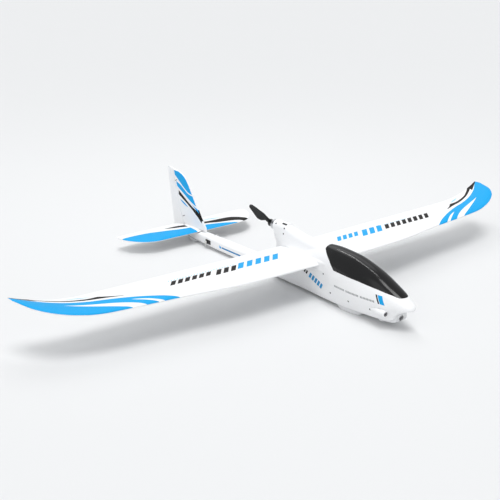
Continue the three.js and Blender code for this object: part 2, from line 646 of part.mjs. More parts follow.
function buildFin() {
  const rings = FIN_STATIONS.map((z) => {
    const fade = 1 - 0.35 * (z / 203) ** 2;
    return tailRing(finLeading(z), rudderTrailing(z), 2 * FIN_HALF_THICKNESS * fade, (y, h) => [h, y, z]);
  });
  const whole = loft(rings);
  const [lowerRoom, upperRoom] = RUDDER_HINGES.map(([, z]) => rudderHingeSolid(z, GAP));
  const hingeRoom = lowerRoom.add(upperRoom);
  const base = STAB_Z + STAB_THICKNESS / 2 + GAP;
  const aboveBase = box([-20, 600, base], [20, 900, 230]);
  const fin = whole.intersect(aboveBase).subtract(behindRudderHinge(HINGE_GAP)).subtract(hingeRoom)
    .subtract(fuselageOutline(GAP));
  add('fin', biggest(fin), FOAM);

  const nose = wedgeNose(rudderHinge(0), rudderHinge(230), [1, 0, 0], [0, 1, 0]);
  const rudder = whole.intersect(behindRudderHinge(0)).intersect(nose).subtract(hingeRoom);
  add('rudder', biggest(rudder), FOAM);
  for (const [name, z] of RUDDER_HINGES) add(name, rudderHingeSolid(z, 0), NYLON_BLACK);
}

// ---- Belly, nose and boom fittings --------------------------------------------------------

/** How far a hull's side stands from the centre at a station y and a height z. */
function hullSide(y, z) {
  const half = hullHalf(y);
  const i = half.findIndex((point, k) => k > 0 && point[1] <= z);
  const [[x0, z0], [x1, z1]] = [half[i - 1], half[i]];
  return x0 + (x1 - x0) * (z0 - z) / (z0 - z1);
}

const SHELL_SCREWS = [[88, 79.5], [61, 36], [-7, 35], [-80, 37]]; // y, z on each side
const shellScrew = ([y, z], grow = 0) => {
  const side = hullSide(y, z);
  return rod([side - 9 - grow, y, z], [side - 0.6 + 3 * grow, y, z], 1.6 + grow, 10);
};

function buildBellyFittings() {
  const hull = fuselageOutline(GAP);
  const plan = new THREE.Shape();
  plan.moveTo(0, -44);
  plan.bezierCurveTo(20, -44, 27, -10, 27, 22);
  plan.bezierCurveTo(27, 44, 18, 62, 0, 62);
  plan.bezierCurveTo(-18, 62, -27, 44, -27, 22);
  plan.bezierCurveTo(-27, -10, -20, -44, 0, -44);
  const upward = { depth: 24, bevelEnabled: false, curveSegments: 8 };
  const footprint = solidOf(new THREE.ExtrudeGeometry(plan, upward));
  const side = sidePlate([[-60, 14], [-50, 11], [-26, 0], [32, 0], [54, 6], [70, 8], [70, 24], [-60, 24]],
    -40, 40);
  add('belly_skid', biggest(footprint.intersect(side).subtract(hull)), FOAM_GREY);

  const bumper = sidePlate([[660, 22], [668, 8], [680, 0], [700, 0], [714, 6], [722, 22]], -11, 11);
  add('tail_bumper', biggest(bumper.subtract(hull)), FOAM_GREY);
}

const CHIN = { front: -151, rear: -95, halfWidth: 20, low: 20, holeRadius: 7.5, holeZ: 29 };
const TUBE = { mouth: [-37, -135, 42], root: [-33, -85, 41], radius: 7.6, bore: 5.6 };

function buildNoseFittings() {
  const hull = fuselageOutline(GAP);
  const { front, rear, halfWidth, low, holeRadius, holeZ } = CHIN;
  const block = sidePlate([[front, low + 2], [front - 2, 46], [rear, 46], [rear, 8], [front + 10, low - 3]],
    -halfWidth, halfWidth);
  const lensHole = rod([0, front - 10, holeZ], [0, front + 7, holeZ], holeRadius, 20);
  add('chin_block', biggest(block.subtract(hull).subtract(lensHole)), FOAM_GREY);

  const { mouth, root, radius, bore } = TUBE;
  const direction = vector(root).sub(vector(mouth)).normalize().toArray();
  const hole = rod(plus(mouth, direction, -5), plus(root, direction, 5), bore, 16);
  const tube = rod(mouth, root, radius, 20).subtract(hole);
  const intake = biggest(tube.subtract(fuselageOutline(2 * GAP)));
  add('cooling_intake_right', intake, FOAM);
  add('cooling_intake_left', mirrorX(intake), FOAM);
}

function buildScrews() {
  SHELL_SCREWS.forEach((at, i) => {
    add(`shell_screw_left_${i + 1}`, shellScrew(at), STEEL);
    add(`shell_screw_right_${i + 1}`, mirrorX(shellScrew(at)), STEEL);
  });
}

// ---- Power --------------------------------------------------------------------------------

function buildMotor() {
  const axis = (y) => [0, y, MOTOR_AXIS_Z];
  const mount = rod(axis(294), axis(297), 14.6, 24).subtract(rod(axis(290), axis(300), 3.2, 12));
  add('motor_mount', mount, ALUMINIUM);
  const stator = rod(axis(297.3), axis(318), 10.8, 18).subtract(rod(axis(290), axis(330), 3.2, 12));
  add('motor_stator', stator, COPPER);
  const can = rod(axis(301), axis(327), 13.9, 24).subtract(rod(axis(300), axis(324), 11.6, 24));
  const shaft = rod(axis(299), axis(350), 2.5, 12);
  add('motor_bell', can.add(shaft).add(rod(axis(326), axis(331), 6, 16)), ALUMINIUM);
}

const bladeChord = profile([[0, 11], [10, 12], [20, 11], [30, 19], [45, 22], [65, 18], [85, 13],
  [PROP_RADIUS, 8]]);
const bladeBulge = profile([[0, 0], [20, 0], [32, 3.5], [50, 3.5], [80, 1], [PROP_RADIUS, 0]]);
const BLADE_PITCH = 115;
const BLADE_STATIONS = [0, 10, 20, 26, 33, 42, 55, 70, 85, 94, PROP_RADIUS];

/** One blade along +X, its section turned to the local pitch angle. */
function bladeRing(radius) {
  const chord = bladeChord(radius);
  const pitch = Math.atan(BLADE_PITCH / (2 * Math.PI * Math.max(radius, 26)));
  const thickness = 4.2 - 2.9 * (radius / PROP_RADIUS);
  const section = [[-0.5, 0.05], [-0.35, 0.5], [0, 0.62], [0.3, 0.4], [0.5, 0.05], [0.5, -0.12], [0, -0.38],
    [-0.5, -0.12]];
  return section.map(([c, h]) => {
    const [across, deep] = [c * chord + bladeBulge(radius), h * thickness];
    return [radius, deep * Math.cos(pitch) + across * Math.sin(pitch),
      across * Math.cos(pitch) - deep * Math.sin(pitch)];
  });
}

function buildPropeller() {
  const blade = loft(BLADE_STATIONS.map(bladeRing));
  const hub = rod([0, -7, 0], [0, 5, 0], 10, 24);
  const both = hub.add(blade).add(blade.rotate([0, 180, 0]));
  const bored = both.subtract(rod([0, -20, 0], [0, 20, 0], 2.8, 12));
  const turned = bored.rotate([0, -THREE.MathUtils.radToDeg(PROP_REST_ANGLE), 0]);
  add('propeller', turned.translate([0, PROP_PLANE, MOTOR_AXIS_Z]), NYLON_BLACK);
  const nut = rod([0, PROP_PLANE + 5.3, MOTOR_AXIS_Z], [0, PROP_PLANE + 10, MOTOR_AXIS_Z], 4.6, 6);
  add('propeller_nut', nut.subtract(rod([0, 330, MOTOR_AXIS_Z], [0, 360, MOTOR_AXIS_Z], 2.8, 12)), STEEL);
}

buildWing();
buildFuselage();
buildLinkages();
buildStabilizer();
buildFin();
buildEquipment();
buildBellyFittings();
buildNoseFittings();
buildScrews();
buildMotor();
buildPropeller();

export default aircraft;
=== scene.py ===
import math

import bmesh
import bpy
import numpy as np
from mathutils import Matrix, Vector


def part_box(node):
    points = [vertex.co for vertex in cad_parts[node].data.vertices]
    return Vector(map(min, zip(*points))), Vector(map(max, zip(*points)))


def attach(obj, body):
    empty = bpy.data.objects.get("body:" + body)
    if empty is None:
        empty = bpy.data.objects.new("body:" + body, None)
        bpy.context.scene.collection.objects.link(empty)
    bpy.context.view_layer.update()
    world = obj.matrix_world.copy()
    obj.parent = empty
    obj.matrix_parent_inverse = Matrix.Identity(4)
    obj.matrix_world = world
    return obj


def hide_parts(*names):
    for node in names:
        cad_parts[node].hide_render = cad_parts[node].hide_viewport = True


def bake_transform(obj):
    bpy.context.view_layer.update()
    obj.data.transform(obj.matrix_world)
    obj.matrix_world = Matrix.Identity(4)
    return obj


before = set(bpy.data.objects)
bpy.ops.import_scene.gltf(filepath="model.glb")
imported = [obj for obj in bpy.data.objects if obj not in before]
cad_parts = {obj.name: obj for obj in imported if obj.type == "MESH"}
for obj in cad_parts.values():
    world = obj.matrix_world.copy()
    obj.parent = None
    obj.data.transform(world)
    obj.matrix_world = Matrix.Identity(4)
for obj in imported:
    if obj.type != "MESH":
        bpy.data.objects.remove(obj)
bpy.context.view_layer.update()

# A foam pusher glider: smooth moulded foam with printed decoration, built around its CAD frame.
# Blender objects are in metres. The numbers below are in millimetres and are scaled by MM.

MM = 0.001

# ---- Camera, stage and light ---------------------------------------------------------------

CAMERA_AT = (-1713.7, -1700.2, 996.5)
CAMERA_AZIMUTH, CAMERA_ELEVATION, CAMERA_ROLL = map(math.radians, (-38.8158, 19.2615, 0.3732))
CAMERA_LENS = 74.16
FLOOR_COLOR, FLOOR_DROP = (0.75, 0.755, 0.76, 1), 0.0003
SKY_COLOR, SKY_STRENGTH = (0.97, 0.985, 1, 1), 0.55
# Each sun's azimuth, elevation, power and the angle its disc fills, which softens its shadows.
SUNS = {"key": (-30, 76, 1.45, 30), "rim": (150, 50, 0.3, 40), "fill": (-75, 32, 0.52, 60)}


def link(obj):
    bpy.context.scene.collection.objects.link(obj)
    return obj


def look_along(azimuth, elevation, roll=0.0):
    """A rotation for something that looks along its own -Z, from that azimuth and elevation."""
    back = Vector((math.sin(azimuth) * math.cos(elevation), -math.cos(azimuth) * math.cos(elevation),
                   math.sin(elevation)))
    right = Vector((math.cos(azimuth), math.sin(azimuth), 0))
    matrix = Matrix((right, back.cross(right), back)).transposed()
    return (matrix @ Matrix.Rotation(roll, 3, "Z")).to_4x4()


def make_camera():
    data = bpy.data.cameras.new("camera")
    data.lens = CAMERA_LENS
    data.clip_end = 60
    camera = link(bpy.data.objects.new("camera", data))
    camera.matrix_world = Matrix.Translation(Vector(CAMERA_AT) * MM) @ look_along(
        CAMERA_AZIMUTH, CAMERA_ELEVATION, CAMERA_ROLL)
    bpy.context.scene.camera = camera


def add_light(name, kind, azimuth, elevation, power, **settings):
    """A light that faces the middle of the aircraft from two metres away."""
    data = bpy.data.lights.new(name, kind)
    data.energy = power
    for key, value in settings.items():
        setattr(data, key, value)
    turn = look_along(math.radians(azimuth), math.radians(elevation))
    light = link(bpy.data.objects.new(name, data))
    light.matrix_world = Matrix.Translation((0, 0.1, 0.1)) @ turn @ Matrix.Translation((0, 0, 2))


def make_stage():
    mesh = bpy.data.meshes.new("floor")
    reach = 60
    mesh.from_pydata([(-reach, -reach, 0), (reach, -reach, 0), (reach, reach, 0), (-reach, reach, 0)], [],
                     [(0, 1, 2, 3)])
    floor = link(bpy.data.objects.new("floor", mesh))
    floor.location.z = -FLOOR_DROP
    material = bpy.data.materials.new("floor")
    material.use_nodes = True
    shader = material.node_tree.nodes["Principled BSDF"]
    shader.inputs["Base Color"].default_value = FLOOR_COLOR
    shader.inputs["Roughness"].default_value = 0.9
    shader.inputs["Specular IOR Level"].default_value = 0.1
    mesh.materials.append(material)
    world = bpy.data.worlds.new("studio")
    bpy.context.scene.world = world
    world.use_nodes = True
    sky = world.node_tree.nodes["Background"]
    sky.inputs["Color"].default_value = SKY_COLOR
    sky.inputs["Strength"].default_value = SKY_STRENGTH
    for name, (azimuth, elevation, power, angle) in SUNS.items():
        add_light(name, "SUN", azimuth, elevation, power, angle=math.radians(angle))
    # A long narrow strip overhead draws one thin highlight along the canopy.
    add_light("strip", "AREA", 160, 68, 5.5, shape="RECTANGLE", size=0.035, size_y=1.6)
    bpy.context.scene.view_settings.view_transform = "Standard"


make_camera()
make_stage()

# ---- Mesh tools ----------------------------------------------------------------------------


def solid(vertices, faces):
    """A closed mesh from points in millimetres, its faces turned outwards."""
    mesh = bpy.data.meshes.new("shape")
    mesh.from_pydata([[float(c) * MM for c in v] for v in vertices], [], faces)
    work = bmesh.new()
    work.from_mesh(mesh)
    bmesh.ops.recalc_face_normals(work, faces=work.faces)
    work.to_mesh(mesh)
    work.free()
    return link(bpy.data.objects.new("shape", mesh))


def loft(rings):
    """A closed skin over equal-length rings of points, with flat ends."""
    count = len(rings[0])
    faces = [list(range(count)), list(range((len(rings) - 1) * count, len(rings) * count))]
    for i in range(len(rings) - 1):
        for j in range(count):
            k = (j + 1) % count
            faces.append([i * count + j, i * count + k, (i + 1) * count + k, (i + 1) * count + j])
    return solid([p for ring in rings for p in ring], faces)


def block(low, high):
    """A box between two opposite corners."""
    (x0, y0, z0), (x1, y1, z1) = low, high
    return loft([[(x0, y0, z), (x1, y0, z), (x1, y1, z), (x0, y1, z)] for z in (z0, z1)])


def prism(outline, x0, x1):
    """A side outline of [y, z] points, drawn across the aircraft."""
    return loft([[(x, y, z) for y, z in outline] for x in (x0, x1)])


def frame_at(direction):
    """Two unit vectors across a direction."""
    along = Vector(direction).normalized()
    side = along.cross(Vector((0, 0, 1)) if abs(along.z) < 0.9 else Vector((1, 0, 0))).normalized()
    return side, along.cross(side)


def turned(stations, start, direction, sides=48):
    """A body of revolution: stations are (distance along, radius) from start."""
    side, up = frame_at(direction)
    along = Vector(direction).normalized()
    rings = []
    for distance, radius in stations:
        middle = Vector(start) + along * distance
        rings.append([middle + radius * (side * math.cos(a) + up * math.sin(a))
                      for a in (2 * math.pi * k / sides for k in range(sides))])
    return loft(rings)


def rod(start, end, radius, sides=32):
    along = Vector(end) - Vector(start)
    return turned([(0, radius), (along.length, radius)], start, along, sides)


def on_axis(stations, sides=48):
    """A body of revolution about the motor's axis: stations are (y, radius)."""
    return turned(stations, (0, 0, MOTOR_Z), AFT, sides)


def axis_rod(low, high, radius, sides=32):
    """A cylinder on the motor's axis, between two values of y."""
    return rod((0, low, MOTOR_Z), (0, high, MOTOR_Z), radius, sides)


def discard(obj):
    bpy.data.objects.remove(obj)


def applied(obj, kind, **settings):
    """Adds one modifier and bakes it into the mesh."""
    modifier = obj.modifiers.new(kind, kind)
    for key, value in settings.items():
        setattr(modifier, key, value)
    mesh = bpy.data.meshes.new_from_object(obj.evaluated_get(bpy.context.evaluated_depsgraph_get()))
    obj.modifiers.clear()
    obj.data = mesh
    return obj


def combine(obj, others, operation, keep=False):
    """Applies one boolean after another to obj. The others are used up unless keep is set."""
    for other in others:
        applied(obj, "BOOLEAN", operation=operation, object=other, solver="MANIFOLD")
        if not keep:
            discard(other)
    return obj


def cut(obj, *cutters, keep=False):
    return combine(obj, cutters, "DIFFERENCE", keep)


def joined(obj, *others):
    return combine(obj, others, "UNION")


def common(obj, other):
    return combine(obj, [other], "INTERSECT")


def bevelled(obj, width, segments=3, angle=35):
    return applied(obj, "BEVEL", width=width * MM, segments=segments, limit_method="ANGLE",
                   angle_limit=math.radians(angle), use_clamp_overlap=True)


def copy_of(obj, matrix=None):
    """A copy, moved or mirrored in its mesh by a matrix."""
    other = link(bpy.data.objects.new(obj.name, obj.data.copy()))
    if matrix is not None:
        other.data.transform(matrix)
        if matrix.determinant() < 0:
            other.data.flip_normals()
    return other


def biggest(obj):
    """Keeps the largest separate island of a mesh."""
    work = bmesh.new()
    work.from_mesh(obj.data)
    seen, islands = set(), []
    for vertex in work.verts:
        if vertex.index in seen:
            continue
        island, stack = [], [vertex]
        seen.add(vertex.index)
        while stack:
            current = stack.pop()
            island.append(current)
            for edge in current.link_edges:
                other = edge.other_vert(current)
                if other.index not in seen:
                    seen.add(other.index)
                    stack.append(other)
        islands.append(island)
    islands.sort(key=len)
    bmesh.ops.delete(work, geom=[v for island in islands[:-1] for v in island], context="VERTS")
    work.to_mesh(obj.data)
    work.free()
    return obj


AFT, UP = Vector((0, 1, 0)), Vector((0, 0, 1))
MIRROR = Matrix.Diagonal((-1, 1, 1, 1))
SIDES = (("left", 1), ("right", -1))


def axes_matrix(origin, x_axis, y_axis):
    """A placement whose own x and y run along those directions, at a point in millimetres."""
    x = Vector(x_axis).normalized()
    z = x.cross(Vector(y_axis)).normalized()
    matrix = Matrix((x, z.cross(x), z)).transposed().to_4x4()
    matrix.translation = Vector(origin) * MM
    return matrix


def dress(obj, name, look):
    """Names a visible piece and gives it a material."""
    obj.name = name
    obj.data.name = name
    obj.data.materials.clear()
    obj.data.materials.append(LOOKS[look])
    SLOTS.get(look, look)


def piece(obj, name, body, look, node, sharp=35):
    """Finishes a visible piece that rides on a body and stands for one CAD node."""
    for polygon in obj.data.polygons:
        polygon.material_index = 0
    obj.data.shade_smooth()
    obj.data.set_sharp_from_angle(angle=math.radians(sharp))
    dress(obj, name, look)
    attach(obj, body)
    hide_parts(node)


def piece_on_both_sides(source, name, body, look, node, sharp=35):
    """A left piece and its mirror image. SIDE in a name becomes left or right."""
    for (side, _), matrix in zip(SIDES, (None, MIRROR)):
        name_here, body_here, node_here = (text.replace("SIDE", side) for text in (name, body, node))
        piece(copy_of(source, matrix), name_here, body_here, look, node_here, sharp)
    discard(source)


def profile(points):
    """A smooth curve through (position, value) points that never overshoots them."""
    xs, ys = (np.array(column, float) for column in zip(*points))
    slope = np.diff(ys) / np.diff(xs)
    tangent = np.concatenate([[slope[0]], np.zeros(len(xs) - 2), [slope[-1]]])
    for i in range(1, len(xs) - 1):
        if slope[i - 1] * slope[i] > 0:
            tangent[i] = 2 / (1 / slope[i - 1] + 1 / slope[i])

    def value(x):
        x = min(max(x, xs[0]), xs[-1])
        i = min(int(np.searchsorted(xs, x, side="right")) - 1, len(xs) - 2)
        width = xs[i + 1] - xs[i]
        t = (x - xs[i]) / width
        return float(ys[i] * (2 * t**3 - 3 * t**2 + 1) + tangent[i] * width * (t**3 - 2 * t**2 + t)
                     + ys[i + 1] * (3 * t**2 - 2 * t**3) + tangent[i + 1] * width * (t**3 - t**2))
    return value


# ---- Procedural materials ------------------------------------------------------------------

BLUE = (0.004, 0.385, 0.82)
PALE_BLUE = (0.36, 0.72, 0.96)
# Black print; the same black is also painted inside the fuselage's vent and wells as painted shade.
INK_AND_HOLE_SHADE = (0.006, 0.003, 0.002)
# Grey painted shade for the insides of the intake bores and the lens hole.
SHADE = (0.34, 0.34, 0.35)
GREY_INK = (0.2, 0.2, 0.21)
WHITE = (0.93, 0.935, 0.945)

# Openings in the foam, painted dark inside as painted shade. Those off the middle are on both sides.
MOTOR_Z, POD_RADIUS = 145, 16.8
POD_MARKS, POD_MARK_RADIUS = [(302.8, 155), (266, 150.2), (268, 136.5)], 2.0
VENT_AT, VENT_HALF, VENT_FLOOR = (8.2, 273), (2.4, 9), 151
SCREWS, SCREW_WELL = [(88, 79.5), (61, 36), (-7, 35), (-80, 37)], 2.3
INTAKE_MOUTH, INTAKE_ROOT, INTAKE_BORE = (37, -135, 42), (33, -85, 41), 5.6
CHIN_FRONT, LENS_Z, LENS_RADIUS = -151, 29, 7.5


def pod_mark(y, z, sign=1):
    """Where a well meets the pod's skin, and its direction outwards."""
    out = Vector((sign * math.sqrt(max(POD_RADIUS**2 - (z - MOTOR_Z)**2, 9)), 0, z - MOTOR_Z)).normalized()
    return Vector((0, y, MOTOR_Z)) + out * POD_RADIUS, out


def screw_side(index):
    """How far out a shell screw's head stands, from its CAD node."""
    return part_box(f"shell_screw_left_{index + 1}")[1].x / MM


LOOKS = {}


class Term:
    """A number that varies over a surface, held by a node socket."""

    def __init__(self, paint, socket):
        self.paint = paint
        self.socket = socket

    def math(self, operation, *others, clamp=False):
        node = self.paint.node("Math")
        node.operation = operation
        node.use_clamp = clamp
        for value, socket in zip((self, *others), node.inputs):
            self.paint.feed(value, socket)
        return Term(self.paint, node.outputs[0])

    def __add__(self, other):
        return self.math("ADD", other)

    def __sub__(self, other):
        return self.math("SUBTRACT", other)

    def __rsub__(self, other):
        return (self * -1) + other

    def __mul__(self, other):
        return self.math("MULTIPLY", other)

    def __abs__(self):
        return self.math("ABSOLUTE")

    def __mod__(self, other):
        return self.math("FLOORED_MODULO", other)

    def squared(self):
        return self.math("MULTIPLY", self)

    def least(self, *others):
        """The lowest of several terms: the inside of an outline whose edges they are."""
        term = self
        for other in others:
            term = term.math("MINIMUM", other)
        return term

    def most(self, other):
        return self.math("MAXIMUM", other)

    def mask(self, softness=0.35):
        """1 where the term is above zero, fading over a width in millimetres."""
        return (self * (1 / softness)).math("ADD", 0.5, clamp=True)


class Paint:
    """One procedural material. Its x, y and z are millimetres in the aircraft's frame."""

    def __init__(self, name, color=WHITE, roughness=0.5, metallic=0.0, **sockets):
        self.name = name
        self.material = bpy.data.materials.new(name)
        self.material.use_nodes = True
        self.tree = self.material.node_tree
        self.shader = self.tree.nodes["Principled BSDF"]
        self.shader.inputs["Roughness"].default_value = roughness
        self.shader.inputs["Metallic"].default_value = metallic
        for key, value in sockets.items():
            self.shader.inputs[key.replace("_", " ")].default_value = value
        self.roughness = roughness
        self.color = (*color, 1)
        self.place = self.node("TexCoord").outputs["Object"]
        scale = self.node("VectorMath")
        scale.operation = "SCALE"
        self.feed(self.place, scale.inputs[0])
        scale.inputs["Scale"].default_value = 1 / MM
        self.point = scale.outputs[0]
        split = self.node("SeparateXYZ")
        self.feed(self.point, split.inputs[0])
        self.x, self.y, self.z = (Term(self, s) for s in split.outputs)
        normals = self.node("SeparateXYZ")
        self.feed(self.node("NewGeometry").outputs["Normal"], normals.inputs[0])
        self.normal_x, self.normal_y, self.normal_z = (Term(self, s) for s in normals.outputs)

    def node(self, kind):
        return self.tree.nodes.new("ShaderNode" + kind)

    def feed(self, value, socket):
        if isinstance(value, Term):
            value = value.socket
        if isinstance(value, bpy.types.NodeSocket):
            self.tree.links.new(value, socket)
        else:
            socket.default_value = value

    def curve(self, term, points):
        """A smooth curve through (term, value) points; flat beyond its ends."""
        xs, ys = zip(*points)
        low, high = min(ys), max(ys)
        node = self.node("FloatCurve")
        line = node.mapping.curves[0]
        while len(line.points) < len(points):
            line.points.new(0.5, 0.5)
        for point, x, y in zip(line.points, xs, ys):
            point.location = ((x - xs[0]) / (xs[-1] - xs[0]), (y - low) / (high - low))
        node.mapping.update()
        share = (term - xs[0]).math("MULTIPLY", 1 / (xs[-1] - xs[0]), clamp=True)
        self.feed(share, node.inputs["Value"])
        return Term(self, node.outputs[0]) * (high - low) + low

    def noise(self, scale, detail=2.0, stretch=(1, 1, 1)):
        """Soft noise around 0.5, with scale features to a millimetre."""
        mapping = self.node("Mapping")
        mapping.inputs["Scale"].default_value = stretch
        self.feed(self.point, mapping.inputs["Vector"])
        node = self.node("TexNoise")
        node.inputs["Scale"].default_value = scale
        node.inputs["Detail"].default_value = detail
        self.feed(mapping.outputs[0], node.inputs["Vector"])
        return Term(self, node.outputs[0])

    def cells(self, size, feature="DISTANCE_TO_EDGE"):
        """A pattern of cells about size millimetres wide."""
        node = self.node("TexVoronoi")
        node.feature = feature
        node.inputs["Scale"].default_value = 1 / size
        self.feed(self.point, node.inputs["Vector"])
        return Term(self, node.outputs[0])

    def mix(self, color, mask, blend):
        node = self.node("Mix")
        node.data_type = "RGBA"
        node.blend_type = blend
        self.feed(mask, node.inputs["Factor"])
        self.feed(self.color, node.inputs[6])
        self.feed((*color, 1), node.inputs[7])
        self.color = node.outputs[2]

    def cover(self, color, mask):
        """Lays a colour over the present one where mask is 1."""
        self.mix(color, mask, "MIX")

    def shade(self, amount, term):
        """Darkens the colour by up to amount where term is 1."""
        self.mix((0, 0, 0), term * amount, "MULTIPLY")

    def bump(self, height, distance):
        """Relief of that many millimetres from a height term."""
        node = self.node("Bump")
        node.inputs["Distance"].default_value = distance * MM
        self.feed(height, node.inputs["Height"])
        if self.shader.inputs["Normal"].is_linked:
            self.feed(self.shader.inputs["Normal"].links[0].from_socket, node.inputs["Normal"])
        self.feed(node.outputs[0], self.shader.inputs["Normal"])

    def rough(self, change):
        """Varies the roughness around its own value."""
        self.feed(change + self.roughness, self.shader.inputs["Roughness"])

    def done(self):
        """Lists the material by its own name, since Blender numbers a name that the frame has used."""
        self.feed(self.color, self.shader.inputs["Base Color"])
        LOOKS[self.name] = self.material


def foam(name, print_and_shade_fn=None, color=WHITE, bead=3.2, roughness=0.5):
    """Moulded bead foam with a smooth skin, and any printed decoration and painted shade that the given
    function lays on.
    """
    paint = Paint(name, color, roughness, Specular_IOR_Level=0.22)
    if print_and_shade_fn:
        print_and_shade_fn(paint)
    seam = 1 - (paint.cells(bead) * 9).math("MINIMUM", 1)
    speckle = paint.noise(0.9, 3)
    paint.shade(0.035, seam)
    paint.shade(0.05, speckle)
    paint.rough((paint.noise(0.03, 4) - 0.5) * 0.16 + seam * 0.08)
    paint.bump(1 - seam, 0.05)
    paint.bump(speckle, 0.03)
    paint.done()


def bars(across, up, first, last, pitch, width, low, high):
    """A row of equal bars: across runs along the row, up runs along each bar."""
    count = round((last - first) / pitch)
    place = (across - first) % pitch
    inside = (width / 2 - abs(place - pitch / 2)).least(
        up - low, high - up, across - first, (first + count * pitch) - across)
    return inside.mask()


def top_side(paint):
    """1 on surfaces that face upwards, where the flat livery is printed."""
    return ((paint.normal_z - 0.1) * 4).mask(1)


def round_hole(paint, color, middle, axis, radius, reach):
    """Paints shade, in the given colour, over the inside of a round hole, within reach of a point on its
    axis.
    """
    away = [abs(paint.x) - middle[0], paint.y - middle[1], paint.z - middle[2]]
    along = away[0] * axis[0] + away[1] * axis[1] + away[2] * axis[2]
    off = away[0].squared() + away[1].squared() + away[2].squared() - along.squared()
    paint.cover(color, (radius**2 - off).least(reach - abs(along)).mask(0.4))


# Painted shade: the inside of each intake's bore is painted grey.
def intake_bore_shade(paint):
    mouth, root = Vector(INTAKE_MOUTH), Vector(INTAKE_ROOT)
    round_hole(paint, SHADE, (mouth + root) / 2, (root - mouth).normalized(), INTAKE_BORE + 0.2,
               (root - mouth).length / 2 - 1)


# Painted shade: the inside of the lens hole is painted grey.
def lens_hole_shade(paint):
    round_hole(paint, SHADE, (0, CHIN_FRONT + 15, LENS_Z), (0, 1, 0), LENS_RADIUS + 0.1, 14)


def wing_decoration(paint):
    x, y = abs(paint.x), paint.y
    top = top_side(paint)
    aft = paint.curve(x, [(436, 124), (475, 147), (500, 159), (550, 181), (600, 200), (650, 216),
                          (700, 235), (725, 247), (750, 261), (775, 279), (800, 299)])
    first_gap = (y - paint.curve(x, [(494, 130), (503, 137), (525, 151), (555, 169), (562, 174)])).least(
        paint.curve(x, [(478, 129), (487, 135), (500, 143), (525, 157.5), (555, 169.5), (562, 171)]) - y)
    second_gap = (y - paint.curve(x, [(560, 135), (572, 144), (600, 157.5), (650, 183), (700, 209),
                                      (722, 221)])
                  ).least(paint.curve(x, [(524, 132), (535, 140), (575, 162.5), (600, 174), (650, 194),
                                          (700, 210.5), (722, 217)]) - y)
    paint.cover(BLUE, (aft - y).least(first_gap * -1, second_gap * -1, x - 436).mask() * top)
    upper = paint.curve(x, [(545, 201), (557, 198), (575, 203), (600, 212), (650, 227), (700, 247),
                            (725, 260), (750, 275), (800, 309)])
    lower = paint.curve(x, [(545, 196), (557, 199), (575, 208), (600, 225), (609, 232), (625, 233),
                            (650, 238), (675, 246), (700, 256), (725, 270), (750, 287), (800, 325)])
    patch = (y - (x - 745) * 0.62 - 262).least(x - 745 - (y - 262) * 0.5)
    paint.cover(INK_AND_HOLE_SHADE, (y - upper).least(lower - y).most(patch).mask() * top)
    streak = 3.6 - abs(y - (x - 620) * 0.43 - 240) - ((x - 650) * (1 / 14)).squared()
    paint.cover(PALE_BLUE, streak.mask(2) * top)
    # Rows of slanted bars where such a model carries its name, which is left out.
    x = paint.x
    lean = x - (y - 175) * 0.85
    for color, first, last, pitch, width, low, high in (
            (INK_AND_HOLE_SHADE, -450, -325, 20.8, 14, 184, 209), (INK_AND_HOLE_SHADE, -315, -246, 23, 15, 175, 208),
            (BLUE, -249, -109, 28, 18, 178, 217), (BLUE, 92, 176, 21, 14, 186, 219),
            (BLUE, 184, 268, 28, 19, 173, 219), (INK_AND_HOLE_SHADE, 273, 457, 23, 15, 178, 212)):
        paint.cover(color, bars(lean, y, first, last, pitch, width, low, high) * top)
    for first, last in ((-461, -257), (256, 366)):
        paint.cover(PALE_BLUE, bars(lean, y, first, last, 8.5, 3, 211, 218) * top)


def stabilizer_decoration(paint):
    x, y, top = paint.x, paint.y, top_side(paint)
    edge = paint.curve(x, [(-236, 733), (-150, 730), (-120, 722), (-80, 711), (-40, 699), (0, 694),
                           (36, 690), (60, 684), (80, 678), (100, 671.5), (120, 665), (145, 656)])
    clear = abs(x) - 16
    paint.cover(BLUE, (edge - y).least(735.5 - y, clear).mask() * top)
    middle = paint.curve(x, [(-90, 740), (-60, 729), (-40, 725), (-20, 719), (45, 709), (80, 700.5),
                             (120, 694.5), (140, 689.5), (160, 678), (190, 656)])
    half = paint.curve(x, [(-90, 3), (-60, 7), (-20, 10), (45, 9), (80, 13), (120, 16.5), (145, 18),
                           (170, 14), (190, 8)])
    paint.cover(INK_AND_HOLE_SHADE, (half - abs(y - middle)).least(184 - x, clear).mask() * top)
    for centre, start in ((88, 735), (-92, 760)):
        streak = 3.6 - abs(y - start + (x - 57) * 0.2) - ((x - centre) * (1 / 17)).squared()
        paint.cover(PALE_BLUE, streak.mask(2) * top)


def hinge_marks(paint):
    """Dark slots where the rudder's two hinges are let into the foam."""
    for y, z in ((746, 65), (785.5, 167.5)):
        slanted = paint.z - z + (paint.y - y) * 0.4
        paint.cover(GREY_INK, (1.3 - abs(slanted)).least(6 - abs(paint.y - y)).mask())


